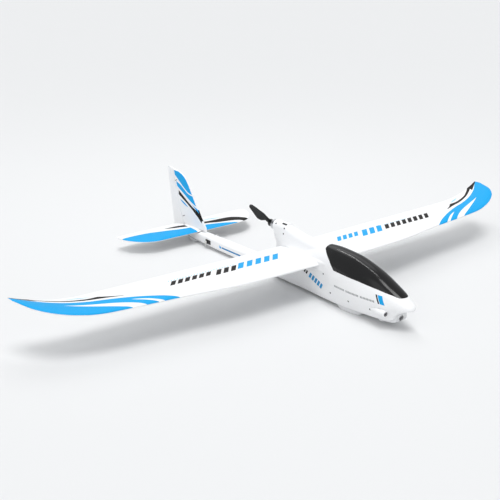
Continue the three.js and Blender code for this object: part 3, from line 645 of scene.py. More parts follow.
def fin_decoration(paint):
    y, z = paint.y, paint.z
    front = paint.curve(z, [(30, 620), (44, 634), (82, 661), (104, 676), (144, 703), (170, 722), (187, 741),
                            (196, 765), (203, 812)])
    hinge = (z - 28) * 0.346 + 744
    field = (y - front - 5).least(hinge - y - 7, 197 - z)
    split_high = paint.curve(y, [(700, 138), (720, 142), (740, 151.5), (760, 164), (780, 177), (795, 185)])
    split_low = paint.curve(y, [(700, 135), (720, 138), (740, 147.5), (760, 158), (785, 165)])
    foot = paint.curve(y, [(680, 107), (700, 114), (720, 123), (740, 133), (760, 142), (785, 154)])
    blue = (z - split_high).most((split_low - z).least(z - foot))
    paint.cover(BLUE, blue.least(field).mask())
    middle = paint.curve(y, [(655, 68), (665, 77), (680, 88), (700, 98.5), (740, 118.5), (775, 135)])
    half = paint.curve(y, [(655, 5), (680, 6.5), (700, 4.6), (720, 4.2), (740, 5), (775, 7)])
    stripe = (half - abs(z - middle)).least(771 - y, y - 655)
    patch = (front + 12 - y).least(z - 70, 99 - z)
    paint.cover(INK_AND_HOLE_SHADE, stripe.most(patch).mask())
    paint.cover(BLUE, (3.2 - abs(z - (y - 676) * 0.48 - 97) - (y - 678) * 0.13).least(y - front - 3).mask())
    paint.cover(BLUE, (3 - abs(z - (y - 743) * 0.37 - 105.5) - ((y - 743) * (1 / 12.5)).squared()).mask(1))
    hinge_marks(paint)


def fuselage_print_and_hole_shade(paint):
    y, z = paint.y, paint.z
    outward = paint.normal_x * paint.x
    side = ((abs(paint.normal_x) - 0.3) * 5).mask(1) * outward.mask(1)
    lean = y + (62 - z) * 0.2
    badge, tilted = (z - 61.5).least(82.5 - z), y + (72 - z) * 0.5
    paint.cover(BLUE, badge.least(tilted + 122, -109 - tilted).mask() * side)
    paint.cover(INK_AND_HOLE_SHADE, badge.least(tilted + 107.5, -103 - tilted).mask() * side)
    for first, last in ((-98, -53), (-49, -4), (0, 42)):
        paint.cover(GREY_INK, bars(lean, z, first, last, 4.5, 2.6, 61, 66) * side)
    slant = y + (z - 35) * 0.55
    rise = z - (slant - 97) * 0.3
    paint.cover((0.03, 0.3, 0.62), bars(slant, rise, 97, 162, 13, 9, 33, 47) * side)
    paint.cover(INK_AND_HOLE_SHADE, bars(slant, rise, 168, 195, 9, 6, 35, 45) * side)
    line = (y - 450).least(538 - y, z - 19.2, 23.8 - z)
    paint.cover((0.02, 0.22, 0.5), line.mask() * side)
    paint.cover(BLUE, (y - 541).least(549 - y, z - 18, 27 - z - (549 - y) * 0.5).mask() * side)
    edge = (0.7 - abs(paint.x + 6.5)).least(y - 412, 461 - y, z - 30)
    paint.cover((0.5, 0.5, 0.52), edge.mask(1))
    paint.cover(GREY_INK, (1.2 - abs(y - 409)).least(8 - abs(paint.x - 4), z - 30).mask(1))
    # Painted shade: the vent slot, the pod's wells and the screw wells are painted near-black inside.
    x = abs(paint.x)
    paint.cover(INK_AND_HOLE_SHADE, (VENT_HALF[0] + 0.1 - abs(x - VENT_AT[0])).least(
        VENT_HALF[1] + 0.1 - abs(y - VENT_AT[1]), z - VENT_FLOOR + 0.5).mask())
    for mark_y, mark_z in POD_MARKS:
        round_hole(paint, INK_AND_HOLE_SHADE, *pod_mark(mark_y, mark_z), POD_MARK_RADIUS + 0.15, 8)
    for index, (screw_y, screw_z) in enumerate(SCREWS):
        round_hole(paint, INK_AND_HOLE_SHADE, (screw_side(index), screw_y, screw_z), (1, 0, 0), SCREW_WELL + 0.15, 12)


def canopy_material():
    paint = Paint("canopy_black", (0.01, 0.01, 0.0105), 0.13, Specular_IOR_Level=0.33)
    scuffs = paint.noise(0.05, 5)
    paint.shade(0.3, paint.noise(0.012, 2))
    paint.rough((scuffs - 0.5) * 0.12)
    paint.bump(paint.noise(0.25, 2), 0.02)
    paint.done()


def moulded(name, color, roughness, grain=0.06):
    """Injection-moulded plastic with a fine spark-eroded grain."""
    paint = Paint(name, color, roughness)
    grit = paint.noise(2.2, 3)
    paint.shade(0.25, paint.noise(0.08, 3))
    paint.rough((grit - 0.5) * 0.2)
    paint.bump(grit, grain)
    paint.done()


def metal(name, color, roughness, stretch=(1, 1, 1)):
    """Metal with drawing or turning marks."""
    paint = Paint(name, color, roughness, 1.0)
    marks = paint.noise(1.5, 4, stretch)
    paint.shade(0.22, marks)
    paint.rough((marks - 0.5) * 0.3)
    paint.bump(marks, 0.015)
    paint.done()


def plywood_material():
    paint = Paint("plywood", (0.62, 0.44, 0.25), 0.65)
    grain = paint.noise(0.9, 5, (1, 0.06, 1))
    paint.cover((0.42, 0.26, 0.13), (grain - 0.5).mask(0.25) * 0.7)
    plies = ((paint.z % 1.0) - 0.5).mask(0.15)
    paint.shade(0.25, plies * (1 - abs(paint.normal_z)))
    paint.bump(grain, 0.08)
    paint.done()


def carbon_material():
    paint = Paint("carbon", (0.018, 0.018, 0.02), 0.3, Coat_Weight=0.3)
    twill = ((paint.x + paint.y + paint.z) % 3.0 - 1.5).mask(0.4)
    paint.cover((0.05, 0.05, 0.055), twill)
    paint.bump(twill, 0.03)
    paint.done()


def winding_material():
    paint = Paint("winding", (0.5, 0.2, 0.07), 0.35, 0.8)
    wires = abs(paint.y % 0.8 - 0.4)
    paint.shade(0.6, (wires - 0.2).mask(0.2))
    paint.bump(wires, 0.3)
    paint.done()


def battery_material():
    paint = Paint("battery_wrap", (0.012, 0.06, 0.22), 0.28)
    band = (paint.y + 62).least(-44 - paint.y)
    paint.cover((0.75, 0.76, 0.78), band.mask())
    paint.cover((0.95, 0.5, 0.05), (paint.y + 40).least(-37 - paint.y).mask())
    creases = paint.noise(0.06, 4, (1, 3, 1))
    paint.rough((creases - 0.5) * 0.2)
    paint.bump(creases, 0.5)
    paint.done()


def circuit_material():
    paint = Paint("circuit", (0.015, 0.1, 0.05), 0.35)
    tracks = (paint.cells(4.0, "F1") - 0.45).mask(0.1)
    paint.cover((0.04, 0.2, 0.1), tracks)
    paint.bump(tracks, 0.05)
    paint.done()


WHITE_FOAM = {"foam_white": None, "foam_wing": wing_decoration, "foam_stabilizer": stabilizer_decoration,
              "foam_fin": fin_decoration, "foam_rudder": hinge_marks, "foam_fuselage": fuselage_print_and_hole_shade,
              "foam_intake": intake_bore_shade}
for foam_name, look_print_and_shade in WHITE_FOAM.items():
    foam(foam_name, look_print_and_shade)
foam("foam_grey", lens_hole_shade, (0.8, 0.81, 0.82), 2.4, 0.6)
canopy_material()
moulded("nylon_black", (0.006, 0.006, 0.0065), 0.38)
moulded("nylon_white", (0.82, 0.82, 0.8), 0.4)
moulded("servo_black", (0.012, 0.012, 0.014), 0.3, 0.03)
plywood_material()
carbon_material()
metal("steel", (0.55, 0.56, 0.58), 0.28, (1, 0.2, 1))
metal("screw_steel", (0.08, 0.08, 0.085), 0.35)
metal("aluminium", (0.62, 0.63, 0.65), 0.34, (1, 8, 1))
winding_material()
battery_material()
circuit_material()
# A look has its own name's slot in the record, apart from these.
SLOTS = {**dict.fromkeys(WHITE_FOAM, "foam_white"), "screw_steel": "steel"}

# ---- Fuselage ------------------------------------------------------------------------------

GAP = 0.3
POD_REAR, PYLON_REAR = 314, 309
WING_Z = 97
BOOM_END = 750
VOXEL = 1.6

CROWN = profile([(-190, 63), (-187, 67), (-178, 74), (-150, 91), (-117, 106.5), (-76, 124.5), (-38, 136),
                 (12, 146), (73, 149), (107, 147), (130, 140), (160, 128), (200, 108), (285, 98), (305, 74),
                 (324, 43), (370, 40), (500, 38.5), (BOOM_END, 36.5)])
FLANK = profile([(-190, 3), (-186, 11), (-172, 20.5), (-150, 29), (-100, 39.5), (-20, 46.5), (60, 42),
                 (110, 34), (200, 31), (300, 21), (370, 18.5), (560, 18), (BOOM_END, 10)])
FLANK_Z = profile([(-190, 61), (-150, 62), (0, 66), (100, 88), (300, 60), (370, 27), (BOOM_END, 26)])
CHINE = profile([(-190, 2.5), (-186, 10.5), (-172, 20), (-150, 28.5), (-100, 39), (-20, 46), (60, 41),
                 (110, 33), (200, 30), (300, 20.5), (370, 18.3), (560, 17.8), (BOOM_END, 9.5)])
CHINE_Z = profile([(-190, 59), (-172, 57), (-150, 55), (0, 55), (60, 62), (110, 80), (200, 78), (300, 40),
                   (370, 20), (BOOM_END, 22)])
KEEL = profile([(-190, 2), (-180, 11), (-160, 20), (-140, 24), (-60, 30), (60, 30), (150, 26), (300, 19),
                (370, 17.2), (560, 16.5), (BOOM_END, 8)])
KEEL_Z = profile([(-190, 57), (-175, 53.5), (-160, 48), (-152, 40), (-142, 24), (-110, 17), (-50, 13),
                  (60, 8), (160, 8.5), (300, 6.5), (500, 7.5), (650, 9.5), (BOOM_END, 14)])
CROWN_POWER = profile([(-150, 2.08), (-60, 2.12), (20, 2.25), (200, 2.25), (380, 3.4)])
PYLON_TOP = profile([(70, 138), (110, 144), (150, 145), (191, 147), (231, 152.5), (271, 159), (290, 161.8),
                     (PYLON_REAR, 161.8)])
PYLON_FOOT = profile([(70, 38), (106, 36), (150, 34), (200, 29), (250, 21), (285, 14), (PYLON_REAR, 7)])
PYLON_RADIUS = profile([(70, 24), (150, 20), (220, 17.5), (280, POD_RADIUS)])


def crown_point(y, angle, grow):
    """The (x, z) of a point on the upper hull at a station, an angle from the middle of the top."""
    low = FLANK_Z(y)
    top = max(CROWN(y) + grow, low + 1)
    width = max(FLANK(y) + grow, 1.5)
    power = 2 / CROWN_POWER(y)
    x = math.copysign(width * abs(math.sin(angle))**power, angle)
    return x, low + (top - low) * max(math.cos(angle), 0)**power


def crown_half(y, steps, grow=0.0):
    """Half of the upper hull's section, from the top down to the flank."""
    return [crown_point(y, i / steps * math.pi / 2, grow) for i in range(steps + 1)]


def ring_from(half, y):
    """A whole section from its left half, which runs from the top to the middle of the bottom."""
    return [(-x, y, z) for x, z in half] + [(x, y, z) for x, z in half[-2:0:-1]]


def hull_ring(y):
    low, foot = CHINE_Z(y), KEEL(y)
    bottom = min(KEEL_Z(y), low - 1)
    return ring_from(crown_half(y, 20) + [(CHINE(y), low), (foot * 1.06, bottom + (low - bottom) * 0.22),
                                          (foot * 0.9, bottom), (0, bottom)], y)


def pylon_ring(y, steps=12):
    radius, foot, base = PYLON_RADIUS(y), PYLON_FOOT(y), WING_Z - 14
    middle = PYLON_TOP(y) - radius
    half = []
    for i in range(steps + 1):
        angle = i / steps * math.pi / 2
        half.append((radius * math.sin(angle), middle + radius * math.cos(angle)))
    for i in range(1, steps + 1):
        angle = i / steps * math.pi / 2
        half.append((radius + (foot - radius) * (1 - math.cos(angle)),
                     middle - (middle - WING_Z - 10) * math.sin(angle)))
    return ring_from(half + [(foot, base), (0, base)], y)


def stations(low, high, step):
    count = max(1, round((high - low) / step))
    return [low + (high - low) * i / count for i in range(count + 1)]


def smooth_hull():
    """Hull, pylon and motor pod run together and smoothed, as one moulding."""
    lengths = stations(-190, -160, 1.5) + stations(-155, 340, 5) + stations(350, BOOM_END, 10)
    hull = loft([hull_ring(y) for y in lengths])
    pylon = loft([pylon_ring(y) for y in stations(70, PYLON_REAR, 6)])
    pod = axis_rod(262, POD_REAR + 2, POD_RADIUS)
    web = prism([(290, 134), (POD_REAR, 132), (PYLON_REAR, 104), (290, 98)], -5, 5)
    joined(hull, pylon, pod, web)
    applied(hull, "REMESH", mode="VOXEL", voxel_size=VOXEL * MM, adaptivity=0)
    applied(hull, "SMOOTH", factor=0.5, iterations=5)
    return cut(hull, block((-40, POD_REAR - 0.1, 100), (40, POD_REAR + 20, 190)))


PARTING = [(102, 141), (70, 121), (47, 101.5), (-40, 99), (-100, 93.5), (-140, 87.5), (-155, 84)]
BAY = {"front": -118, "rear": 96, "floor": 30, "low": 23, "high": 31, "roof": 92}
SPAR_Y, SPAR_Z, SPAR_RADIUS = 160, WING_Z + 2.5, 4
MAGNET_Y, MAGNET_RECESS = -130, 4.3
CANOPY_WALL = 2.5


def bay():
    """The equipment bay: a trough open at the top, with a tunnel behind it."""
    low, high, floor, roof = BAY["low"], BAY["high"], BAY["floor"], BAY["roof"]

    def ring(y, scale):
        return [(-low * scale, y, floor), (low * scale, y, floor), (high * scale, y, 60),
                (high * scale, y, roof + 30), (-high * scale, y, roof + 30), (-high * scale, y, 60)]
    trough = loft([ring(BAY["front"], 0.8), ring(BAY["front"] + 30, 1), ring(44, 1)])
    return joined(trough, block((-low, 40, floor), (low, BAY["rear"], roof - 4)))


def canopy_zone():
    return prism([(-230, 84), (-230, 190), (110, 190), *PARTING], -70, 70)


RUDDER_LOW, RUDDER_HIGH = Vector((0, 744, 28)), Vector((0, 802, 195.6))
RUDDER_AXIS = (RUDDER_HIGH - RUDDER_LOW).normalized()
HINGE_GAP = 1.2


def rudder_hinge(z):
    return RUDDER_LOW + RUDDER_AXIS * ((z - RUDDER_LOW.z) / RUDDER_AXIS.z)


def behind_rudder_hinge(ahead):
    low, high = rudder_hinge(-10), rudder_hinge(230)
    return prism([(low.y - ahead, -10), (high.y - ahead, 230), (900, 230), (900, -10)], -40, 40)


STAB_Z, STAB_THICKNESS, ELEVATOR_Y = 38, 9.5, 736


def spar_room(x0, x1):
    return rod((x0, SPAR_Y, SPAR_Z), (x1, SPAR_Y, SPAR_Z), SPAR_RADIUS + GAP, 24)


def lens_hole():
    return rod((0, CHIN_FRONT - 10, LENS_Z), (0, CHIN_FRONT + 22, LENS_Z), LENS_RADIUS)


def fuselage_cuts():
    """Everything that is taken out of the moulded hull."""
    motor_cup, stab_bottom = axis_rod(293, 330, 15.2), STAB_Z - STAB_THICKNESS / 2 - GAP
    cuts = [canopy_zone(), bay(), motor_cup, spar_room(-90, 90), behind_rudder_hinge(HINGE_GAP),
            block((-30, 655, stab_bottom), (30, 760, 90)),
            rod((0, MAGNET_Y, 84.7), (0, MAGNET_Y, 100), MAGNET_RECESS)]
    cuts += [pocket.cutter() for pocket in HULL_POCKETS]
    for sign in (1, -1):
        for index, (y, z) in enumerate(SCREWS):
            side = screw_side(index)
            cuts.append(rod((sign * (side - 12), y, z), (sign * (side + 4), y, z), SCREW_WELL, 24))
        for y, z in POD_MARKS:
            middle, out = pod_mark(y, z, sign)
            cuts.append(rod(middle - out * 2.5, middle + out * 4, POD_MARK_RADIUS, 24))
        cuts.append(block((sign * VENT_AT[0] - VENT_HALF[0], VENT_AT[1] - VENT_HALF[1], VENT_FLOOR),
                          (sign * VENT_AT[0] + VENT_HALF[0], VENT_AT[1] + VENT_HALF[1], 175)))
        mouth, root = (Vector((sign * p[0], *p[1:])) for p in (INTAKE_MOUTH, INTAKE_ROOT))
        cuts.append(rod(mouth.lerp(root, -0.24), mouth.lerp(root, 0.8), INTAKE_BORE - 0.2, 32))
    return cuts + [lens_hole()]


class Pocket:
    """Room for something in the foam: a box in its own frame. Each use makes a new cutter."""

    def __init__(self, low, high, matrix):
        self.low, self.high, self.matrix = low, high, matrix

    def cutter(self):
        cutter = block(self.low, self.high)
        cutter.data.transform(self.matrix)
        return cutter


# ---- Wing shape ----------------------------------------------------------------------------

WING_LEADING = profile([(0, 106), (235, 107), (445, 131), (575, 143), (640, 151), (700, 166), (750, 190),
                        (780, 220), (798, 272)])
WING_TRAILING = profile([(0, 279), (575, 278), (680, 281), (760, 291), (798, 298)])
WING_THICKNESS, CAMBER, DIHEDRAL = 0.115, 0.02, 0.012
TIP_START, TIP_RISE, HALF_SPAN = 620, 29, 800
AILERON_INNER, AILERON_OUTER, AILERON_CHORD = 244, 646, 30


def thickness_at(t):
    """Half thickness of a symmetric four-digit section of unit chord."""
    return 5 * (0.2969 * math.sqrt(t) - 0.126 * t - 0.3516 * t**2 + 0.2843 * t**3 - 0.1036 * t**4)


def wing_lift(x):
    return WING_Z + DIHEDRAL * x + TIP_RISE * (max(0, x - TIP_START) / (HALF_SPAN - TIP_START))**2


def hinge_middle(x):
    chord = WING_TRAILING(x) - WING_LEADING(x)
    t = 1 - AILERON_CHORD / chord
    half = thickness_at(t) * WING_THICKNESS * chord
    return Vector((x, WING_TRAILING(x) - AILERON_CHORD,
                   wing_lift(x) + CAMBER * chord * 4 * t * (1 - t) + 0.075 * half))


HINGE_IN, HINGE_OUT = hinge_middle(AILERON_INNER), hinge_middle(AILERON_OUTER)


def aileron_hinge(x):
    return HINGE_IN.lerp(HINGE_OUT, (x - AILERON_INNER) / (AILERON_OUTER - AILERON_INNER))


def wing_ring(x, steps=40):
    front, back, level = WING_LEADING(x), WING_TRAILING(x), wing_lift(x)
    chord = back - front
    round_off = math.sqrt(max(0.02, 1 - max(0, (x - 794) / 5.6)**2))
    upper, lower = [], []
    for i in range(steps + 1):
        t = (1 - math.cos(i / steps * math.pi)) / 2
        half = max(thickness_at(t) * WING_THICKNESS * chord, 0.5) * round_off
        mean = level + CAMBER * chord * 4 * t * (1 - t)
        upper.append((x, front + t * chord, mean + half))
        lower.append((x, front + t * chord, mean - half * 0.85))
    return upper + lower[::-1]


def aileron_zone(inner, outer, front):
    rings = []
    for x in (inner, outer):
        _, y, z = aileron_hinge(x)
        rings.append([(x, y + front, z - 30), (x, y + front, z + 30), (x, y + 60, z + 30),
                      (x, y + 60, z - 30)])
    return loft(rings)


def wedge_nose(start, end, up):
    """Two planes that meet in a hinge line and leave a wedge-shaped nose on a control surface."""
    slope, reach, depth = 0.75, 20, 90
    outline = [(0, 0), (reach * slope, reach), (depth, reach), (depth, -reach), (reach * slope, -reach)]
    return loft([[Vector(point) + AFT * a + up * b for a, b in outline] for point in (start, end)])


# ---- Linkages ------------------------------------------------------------------------------

SERVO = {"length": 22.8, "width": 12, "height": 20, "ear": 32, "ear_thick": 2.4, "ear_drop": 4, "inset": 6,
         "top": -4}
SERVO_GAP = 0.4
PIN_HOLE, LEVER_END = 1.1, 1.8


class Linkage:
    """A servo, its arm, a pushrod and a horn: arm and horn are parallel levers of one length."""

    def __init__(self, servo_at, hinge_at, axis, aft, lever, case, root, side=1, opening=8):
        self.servo_at, self.hinge_at = Vector(servo_at), Vector(hinge_at)
        self.axis, self.lever, self.root, self.side = Vector(axis).normalized(), Vector(lever), root, side
        case_across = self.axis.cross(Vector(case))
        self.servo_matrix = axes_matrix(self.servo_at, case, case_across)
        self.arm_matrix = axes_matrix(self.servo_at, self.lever, self.axis.cross(self.lever))
        self.horn_matrix = axes_matrix(self.hinge_at, self.lever, aft)
        back, front = -SERVO["inset"] - SERVO_GAP, SERVO["length"] - SERVO["inset"] + SERVO_GAP
        half, top = SERVO["width"] / 2 + SERVO_GAP, SERVO["top"]
        over = (SERVO["ear"] - SERVO["length"]) / 2
        shoulder = top - SERVO["ear_drop"] + SERVO_GAP
        floor, ear_floor = top - SERVO["height"] - SERVO_GAP, shoulder - SERVO["ear_thick"] - 2 * SERVO_GAP
        self.pockets = [
            Pocket((back, -half, floor), (front, half, top + opening), self.servo_matrix),
            Pocket((back - over, -half, ear_floor), (front + over, half, shoulder), self.servo_matrix)]
        self.slots = [Pocket((-4, -9.5, -2.9), (30, 9.5, 2.6), self.arm_matrix),
                      Pocket((2, -9, -1.4), (22, 2, 1.4), self.horn_matrix)]


AILERON_X = 330
AILERON_LINK = Linkage(aileron_hinge(AILERON_X) + Vector((0, -78, -1.5)), aileron_hinge(AILERON_X),
                       HINGE_OUT - HINGE_IN, (0, 1, 0), (0, 0, -17), (0, -1, 0), 4.2)
ELEVATOR_LINK = Linkage((-23, 610, 21.5), (-23, ELEVATOR_Y, STAB_Z), (-1, 0, 0), (0, 1, 0), (0, 0, -11),
                        (0, -1, 0), 3.9)
RUDDER_FORWARD = Vector((0, -RUDDER_AXIS.z, RUDDER_AXIS.y))
RUDDER_LINK = Linkage((9, 612, 33.5), rudder_hinge(25), RUDDER_AXIS, -RUDDER_FORWARD, (14, 0, 0),
                      RUDDER_FORWARD, 4.9, -1, 0.4)
HULL_POCKETS = ELEVATOR_LINK.pockets + RUDDER_LINK.pockets + RUDDER_LINK.slots


def build_linkage(link, name, mirrored=False):
    """The four pieces of one control linkage, on its three bodies and the airframe."""
    def place(obj, matrix=None):
        if matrix is not None:
            obj.data.transform(matrix)
        if not mirrored:
            return obj
        other = copy_of(obj, MIRROR)
        discard(obj)
        return other

    length = link.lever.length
    piece(place(servo_case(), link.servo_matrix), f"{name}_servo_case", "airframe", "servo_black",
          f"{name}_servo")
    piece(place(servo_arm(length), link.arm_matrix), f"{name}_servo_lever", f"{name}_arm", "nylon_white",
          f"{name}_servo_arm")
    piece(place(control_horn(length, link.root), link.horn_matrix), f"{name}_surface_horn", name,
          "nylon_black", f"{name}_horn")
    piece(place(pushrod(link)), f"{name}_wire", f"{name}_rod", "steel", f"{name}_pushrod")


def servo_case():
    """A micro servo, its shaft on its own z: case with a lid, ears with screw holes, and a stepped boss."""
    back, front = -SERVO["inset"], SERVO["length"] - SERVO["inset"]
    half, top, over = SERVO["width"] / 2, SERVO["top"], (SERVO["ear"] - SERVO["length"]) / 2
    shoulder = top - SERVO["ear_drop"]
    case = bevelled(block((back, -half, top - SERVO["height"]), (front, half, top)), 0.8)
    ears = block((back - over, -half, shoulder - SERVO["ear_thick"]), (front + over, half, shoulder))
    ears = bevelled(ears, 0.5)
    for x in (back - over / 2 - 0.2, front + over / 2 + 0.2):
        cut(ears, rod((x, 0, shoulder - 5), (x, 0, shoulder + 5), 1.1, 20))
    joined(case, ears, turned([(0, 3), (1.2, 3), (1.6, 2.6), (2.6, 2.6)], (0, 0, top - 0.9), UP))
    for z in (top - SERVO["height"] + 3.5, shoulder + 1.6):
        for low, high in (((back - 1, half - 0.25, z), (front + 1, half + 1, z + 0.3)),
                          ((back - 1, -half - 1, z), (front + 1, -half + 0.25, z + 0.3))):
            cut(case, block(low, high))
    return case


def flat_lever(outline, holes, thickness):
    """A plate in its own x, y plane with rounded edges and pin holes along x."""
    plate = loft([[(x, y, z) for x, y in outline] for z in (-thickness / 2, thickness / 2)])
    bevelled(plate, 0.3, 2)
    for x, radius in holes:
        cut(plate, rod((x, 0, -5), (x, 0, 5), radius, 16))
    return plate


def servo_arm(length):
    tip = length + LEVER_END
    plate = flat_lever([(0, -3.2), (length, -2), (tip - 0.5, -1.4), (tip, -0.7), (tip, 0.7),
                        (tip - 0.5, 1.4),
                        (length, 2), (0, 3.2)], [(length, PIN_HOLE)], 1.8)
    joined(plate, turned([(0, 3.1), (0.3, 3.4), (3.1, 3.4), (3.4, 3.1)], (0, 0, -1.9), UP))
    cut(plate, rod((0, 0, 0.9), (0, 0, 3), 2.0, 24))
    for x in (length * 0.5, length * 0.72):
        cut(plate, rod((x, 0, -3), (x, 0, 3), 0.6, 12))
    return plate


def control_horn(length, root):
    tip = length + LEVER_END
    holes = [(length, PIN_HOLE)] + [(x, 0.5) for x in (length - 3, length - 5.5) if x > root + 2.5]
    return flat_lever([(root, 0.8), (length, -2), (tip - 0.4, -1.6), (tip, -0.8), (tip, 0.8),
                       (tip - 0.4, 1.6),
                       (length, 2.2), (root + 3, 7.4), (root, 10)], holes, 1.6)


def pushrod(link, radius=0.75):
    """A steel wire with both ends bent through the pin holes."""
    across = link.axis * link.side
    ends = [point + link.lever for point in (link.servo_at, link.hinge_at)]
    along = (ends[1] - ends[0]).normalized()
    bend, offset, steps = 1.2, 2.6, 6
    path = []
    for end, inward in ((ends[0], along), (ends[1], -along)):
        corner = end + across * offset
        points = [end - across * 2]
        for k in range(steps + 1):
            angle = k / steps * math.pi / 2
            ahead, aside = bend * (1 - math.cos(angle)), bend * (1 - math.sin(angle))
            points.append(corner + inward * ahead - across * aside)
        path += points if not path else points[::-1]
    upright = along.cross(link.axis).normalized()
    rings = []
    for i, point in enumerate(path):
        ahead = (path[min(i + 1, len(path) - 1)] - path[max(i - 1, 0)]).normalized()
        side = ahead.cross(upright).normalized()
        rings.append([point + radius * (side * math.cos(a) + upright * math.sin(a))
                      for a in (2 * math.pi * k / 12 for k in range(12))])
    return loft(rings)


# ---- Building the airframe -----------------------------------------------------------------


def clearance_of(hull, distance=GAP):
    """A copy of the hull, grown all round, to be cut from what sits against it."""
    return applied(copy_of(hull), "DISPLACE", strength=distance * MM, mid_level=0)


def build_fuselage(hull):
    body = cut(copy_of(hull), *fuselage_cuts())
    for name, sign in SIDES:
        far, near = sign * 90, sign * 0.15
        box = block((min(near, far), -300, -50), (max(near, far), 900, 300))
        half = biggest(common(copy_of(body), box))
        piece(half, f"foam_shell_{name}", "airframe", "foam_fuselage", f"fuselage_{name}", 28)
    discard(body)


def canopy_ring(y, grow):
    """The upper hull's section, closed well below the parting line."""
    half, low = crown_half(y, 30, grow), FLANK_Z(y) - 20
    return ring_from(half + [(half[-1][0], low), (0, low)], y)


def build_canopy():
    """The glossy hood: the hull's upper skin above its parting line, open below."""
    skin = loft([canopy_ring(y, 0) for y in stations(-190, -165, 1) + stations(-162, 110, 3)])
    inner = loft([canopy_ring(y, -CANOPY_WALL) for y in stations(BAY["front"], 112, 3)])
    zone = canopy_zone()
    zone.data.transform(Matrix.Translation((0, 0, GAP * MM)))
    common(skin, zone)
    cut(skin, inner, rod((0, MAGNET_Y, 84), (0, MAGNET_Y, 91.9), MAGNET_RECESS))
    piece(biggest(skin), "canopy_hood", "canopy", "canopy_black", "canopy", 40)


def build_wings(hull):
    spans = stations(8, TIP_START, 12) + stations(TIP_START + 8, 780, 8) + stations(783, 799.5, 1.5)
    plain = loft([wing_ring(x) for x in spans])
    panel = cut(copy_of(plain), clearance_of(hull), spar_room(0, 292),
                aileron_zone(AILERON_INNER, AILERON_OUTER, -HINGE_GAP),
                *(pocket.cutter() for pocket in AILERON_LINK.pockets))
    inner, outer = AILERON_INNER + 1, AILERON_OUTER - 1
    flap = common(plain, aileron_zone(inner, outer, 0))
    common(flap, wedge_nose(aileron_hinge(inner), aileron_hinge(outer), UP))
    piece_on_both_sides(biggest(panel), "foam_wing_SIDE", "airframe", "foam_wing", "wing_SIDE", 30)
    piece_on_both_sides(biggest(flap), "foam_aileron_SIDE", "aileron_SIDE", "foam_wing", "aileron_SIDE", 30)


TAIL_SHAPE = profile([(0, 0.02), (0.006, 0.24), (0.04, 0.55), (0.14, 0.9), (0.35, 1), (0.62, 0.85),
                      (0.85, 0.45), (1, 0.16)])


def tail_ring(front, back, thickness, at, steps=26):
    upper, lower = [], []
    for i in range(steps + 1):
        t = (1 - math.cos(i / steps * math.pi)) / 2
        half = TAIL_SHAPE(t) * thickness / 2
        upper.append(at(front + t * (back - front), half))
        lower.append(at(front + t * (back - front), -half))
    return upper + lower[::-1]


STAB_LEADING = profile([(0, 658), (148, 659), (175, 666), (200, 683), (220, 708), (230, 731), (234, 752)])
STAB_TRAILING = profile([(0, 764.5), (222, 764.5), (230, 762), (234, 754)])


def build_stabilizer():
    spans = stations(0, 140, 20) + stations(146, 206, 6) + stations(209, 233.9, 2)
    rings = []
    for x in [-x for x in spans[:0:-1]] + spans:
        far = abs(x)
        fade = math.sqrt(1 - (far / 240)**6)
        rings.append(tail_ring(STAB_LEADING(far), STAB_TRAILING(far), STAB_THICKNESS * fade,
                               lambda y, h, x=x: (x, y, STAB_Z + h)))
    whole = loft(rings)
    front = common(copy_of(whole), block((-300, 600, 0), (300, ELEVATOR_Y - HINGE_GAP, 90)))
    piece(front, "foam_stabilizer", "airframe", "foam_stabilizer", "stabilizer", 30)
    half = common(whole, block((9, ELEVATOR_Y - 1, 0), (300, 790, 90)))
    common(half, wedge_nose((9, ELEVATOR_Y, STAB_Z), (300, ELEVATOR_Y, STAB_Z), UP))
    rudder_room = loft([[(0, 730, z), (9, 730, z), (19, 775, z), (0, 775, z)] for z in (0, 90)])
    joiner_y = ELEVATOR_Y + 4
    cut(half, rudder_room, rod((-40, joiner_y, STAB_Z), (40, joiner_y, STAB_Z), 1.6, 20))
    piece_on_both_sides(biggest(half), "foam_elevator_SIDE", "elevator", "foam_white", "elevator_SIDE", 30)


FIN_TOP = 203
FIN_LEADING = profile([(20, 636), (44, 634), (82, 661), (104, 676), (144, 703), (170, 722), (187, 741),
                       (196, 765), (FIN_TOP, 812)])
RUDDER_TRAILING = profile([(20, 800), (60, 806), (100, 813.5), (150, 822), (195, 829.5), (FIN_TOP, 831)])
RUDDER_HINGES = {"rudder_hinge_lower": 70, "rudder_hinge_upper": 170}


def hinge_room(z):
    """The space round one rudder hinge: its barrel, and its leaf in the fin."""
    reach = 3 + 3 * GAP
    barrel = rod(rudder_hinge(z - reach), rudder_hinge(z + reach), 1.5 + 2 * GAP, 20)
    y = rudder_hinge(z).y
    leaf = block((-0.5 - GAP, y - 9 - GAP, z - 2.5 - GAP), (0.5 + GAP, y, z + 2.5 + GAP))
    return joined(barrel, leaf)


def build_fin(hull):
    heights = stations(20, 184, 8) + stations(187, 199, 2) + stations(200, FIN_TOP, 0.5)
    rings = []
    for z in heights:
        fade = (1 - 0.35 * (z / FIN_TOP)**2) * math.sqrt(1 - max(0, (z - 196) / 7.6)**2)
        rings.append(tail_ring(FIN_LEADING(z), RUDDER_TRAILING(z), 10 * fade, lambda y, h, z=z: (h, y, z)))
    whole = loft(rings)
    base = STAB_Z + STAB_THICKNESS / 2 + GAP
    fin = common(copy_of(whole), block((-20, 600, base), (20, 900, 230)))
    cut(fin, behind_rudder_hinge(HINGE_GAP), *(hinge_room(z) for z in RUDDER_HINGES.values()),
        clearance_of(hull))
    piece(biggest(fin), "foam_fin", "airframe", "foam_fin", "fin", 30)
    rudder = common(whole, behind_rudder_hinge(0))
    common(rudder, wedge_nose(rudder_hinge(0), rudder_hinge(230), Vector((1, 0, 0))))
    cut(rudder, *(hinge_room(z) for z in RUDDER_HINGES.values()))
    piece(biggest(rudder), "foam_rudder", "rudder", "foam_rudder", "rudder", 30)


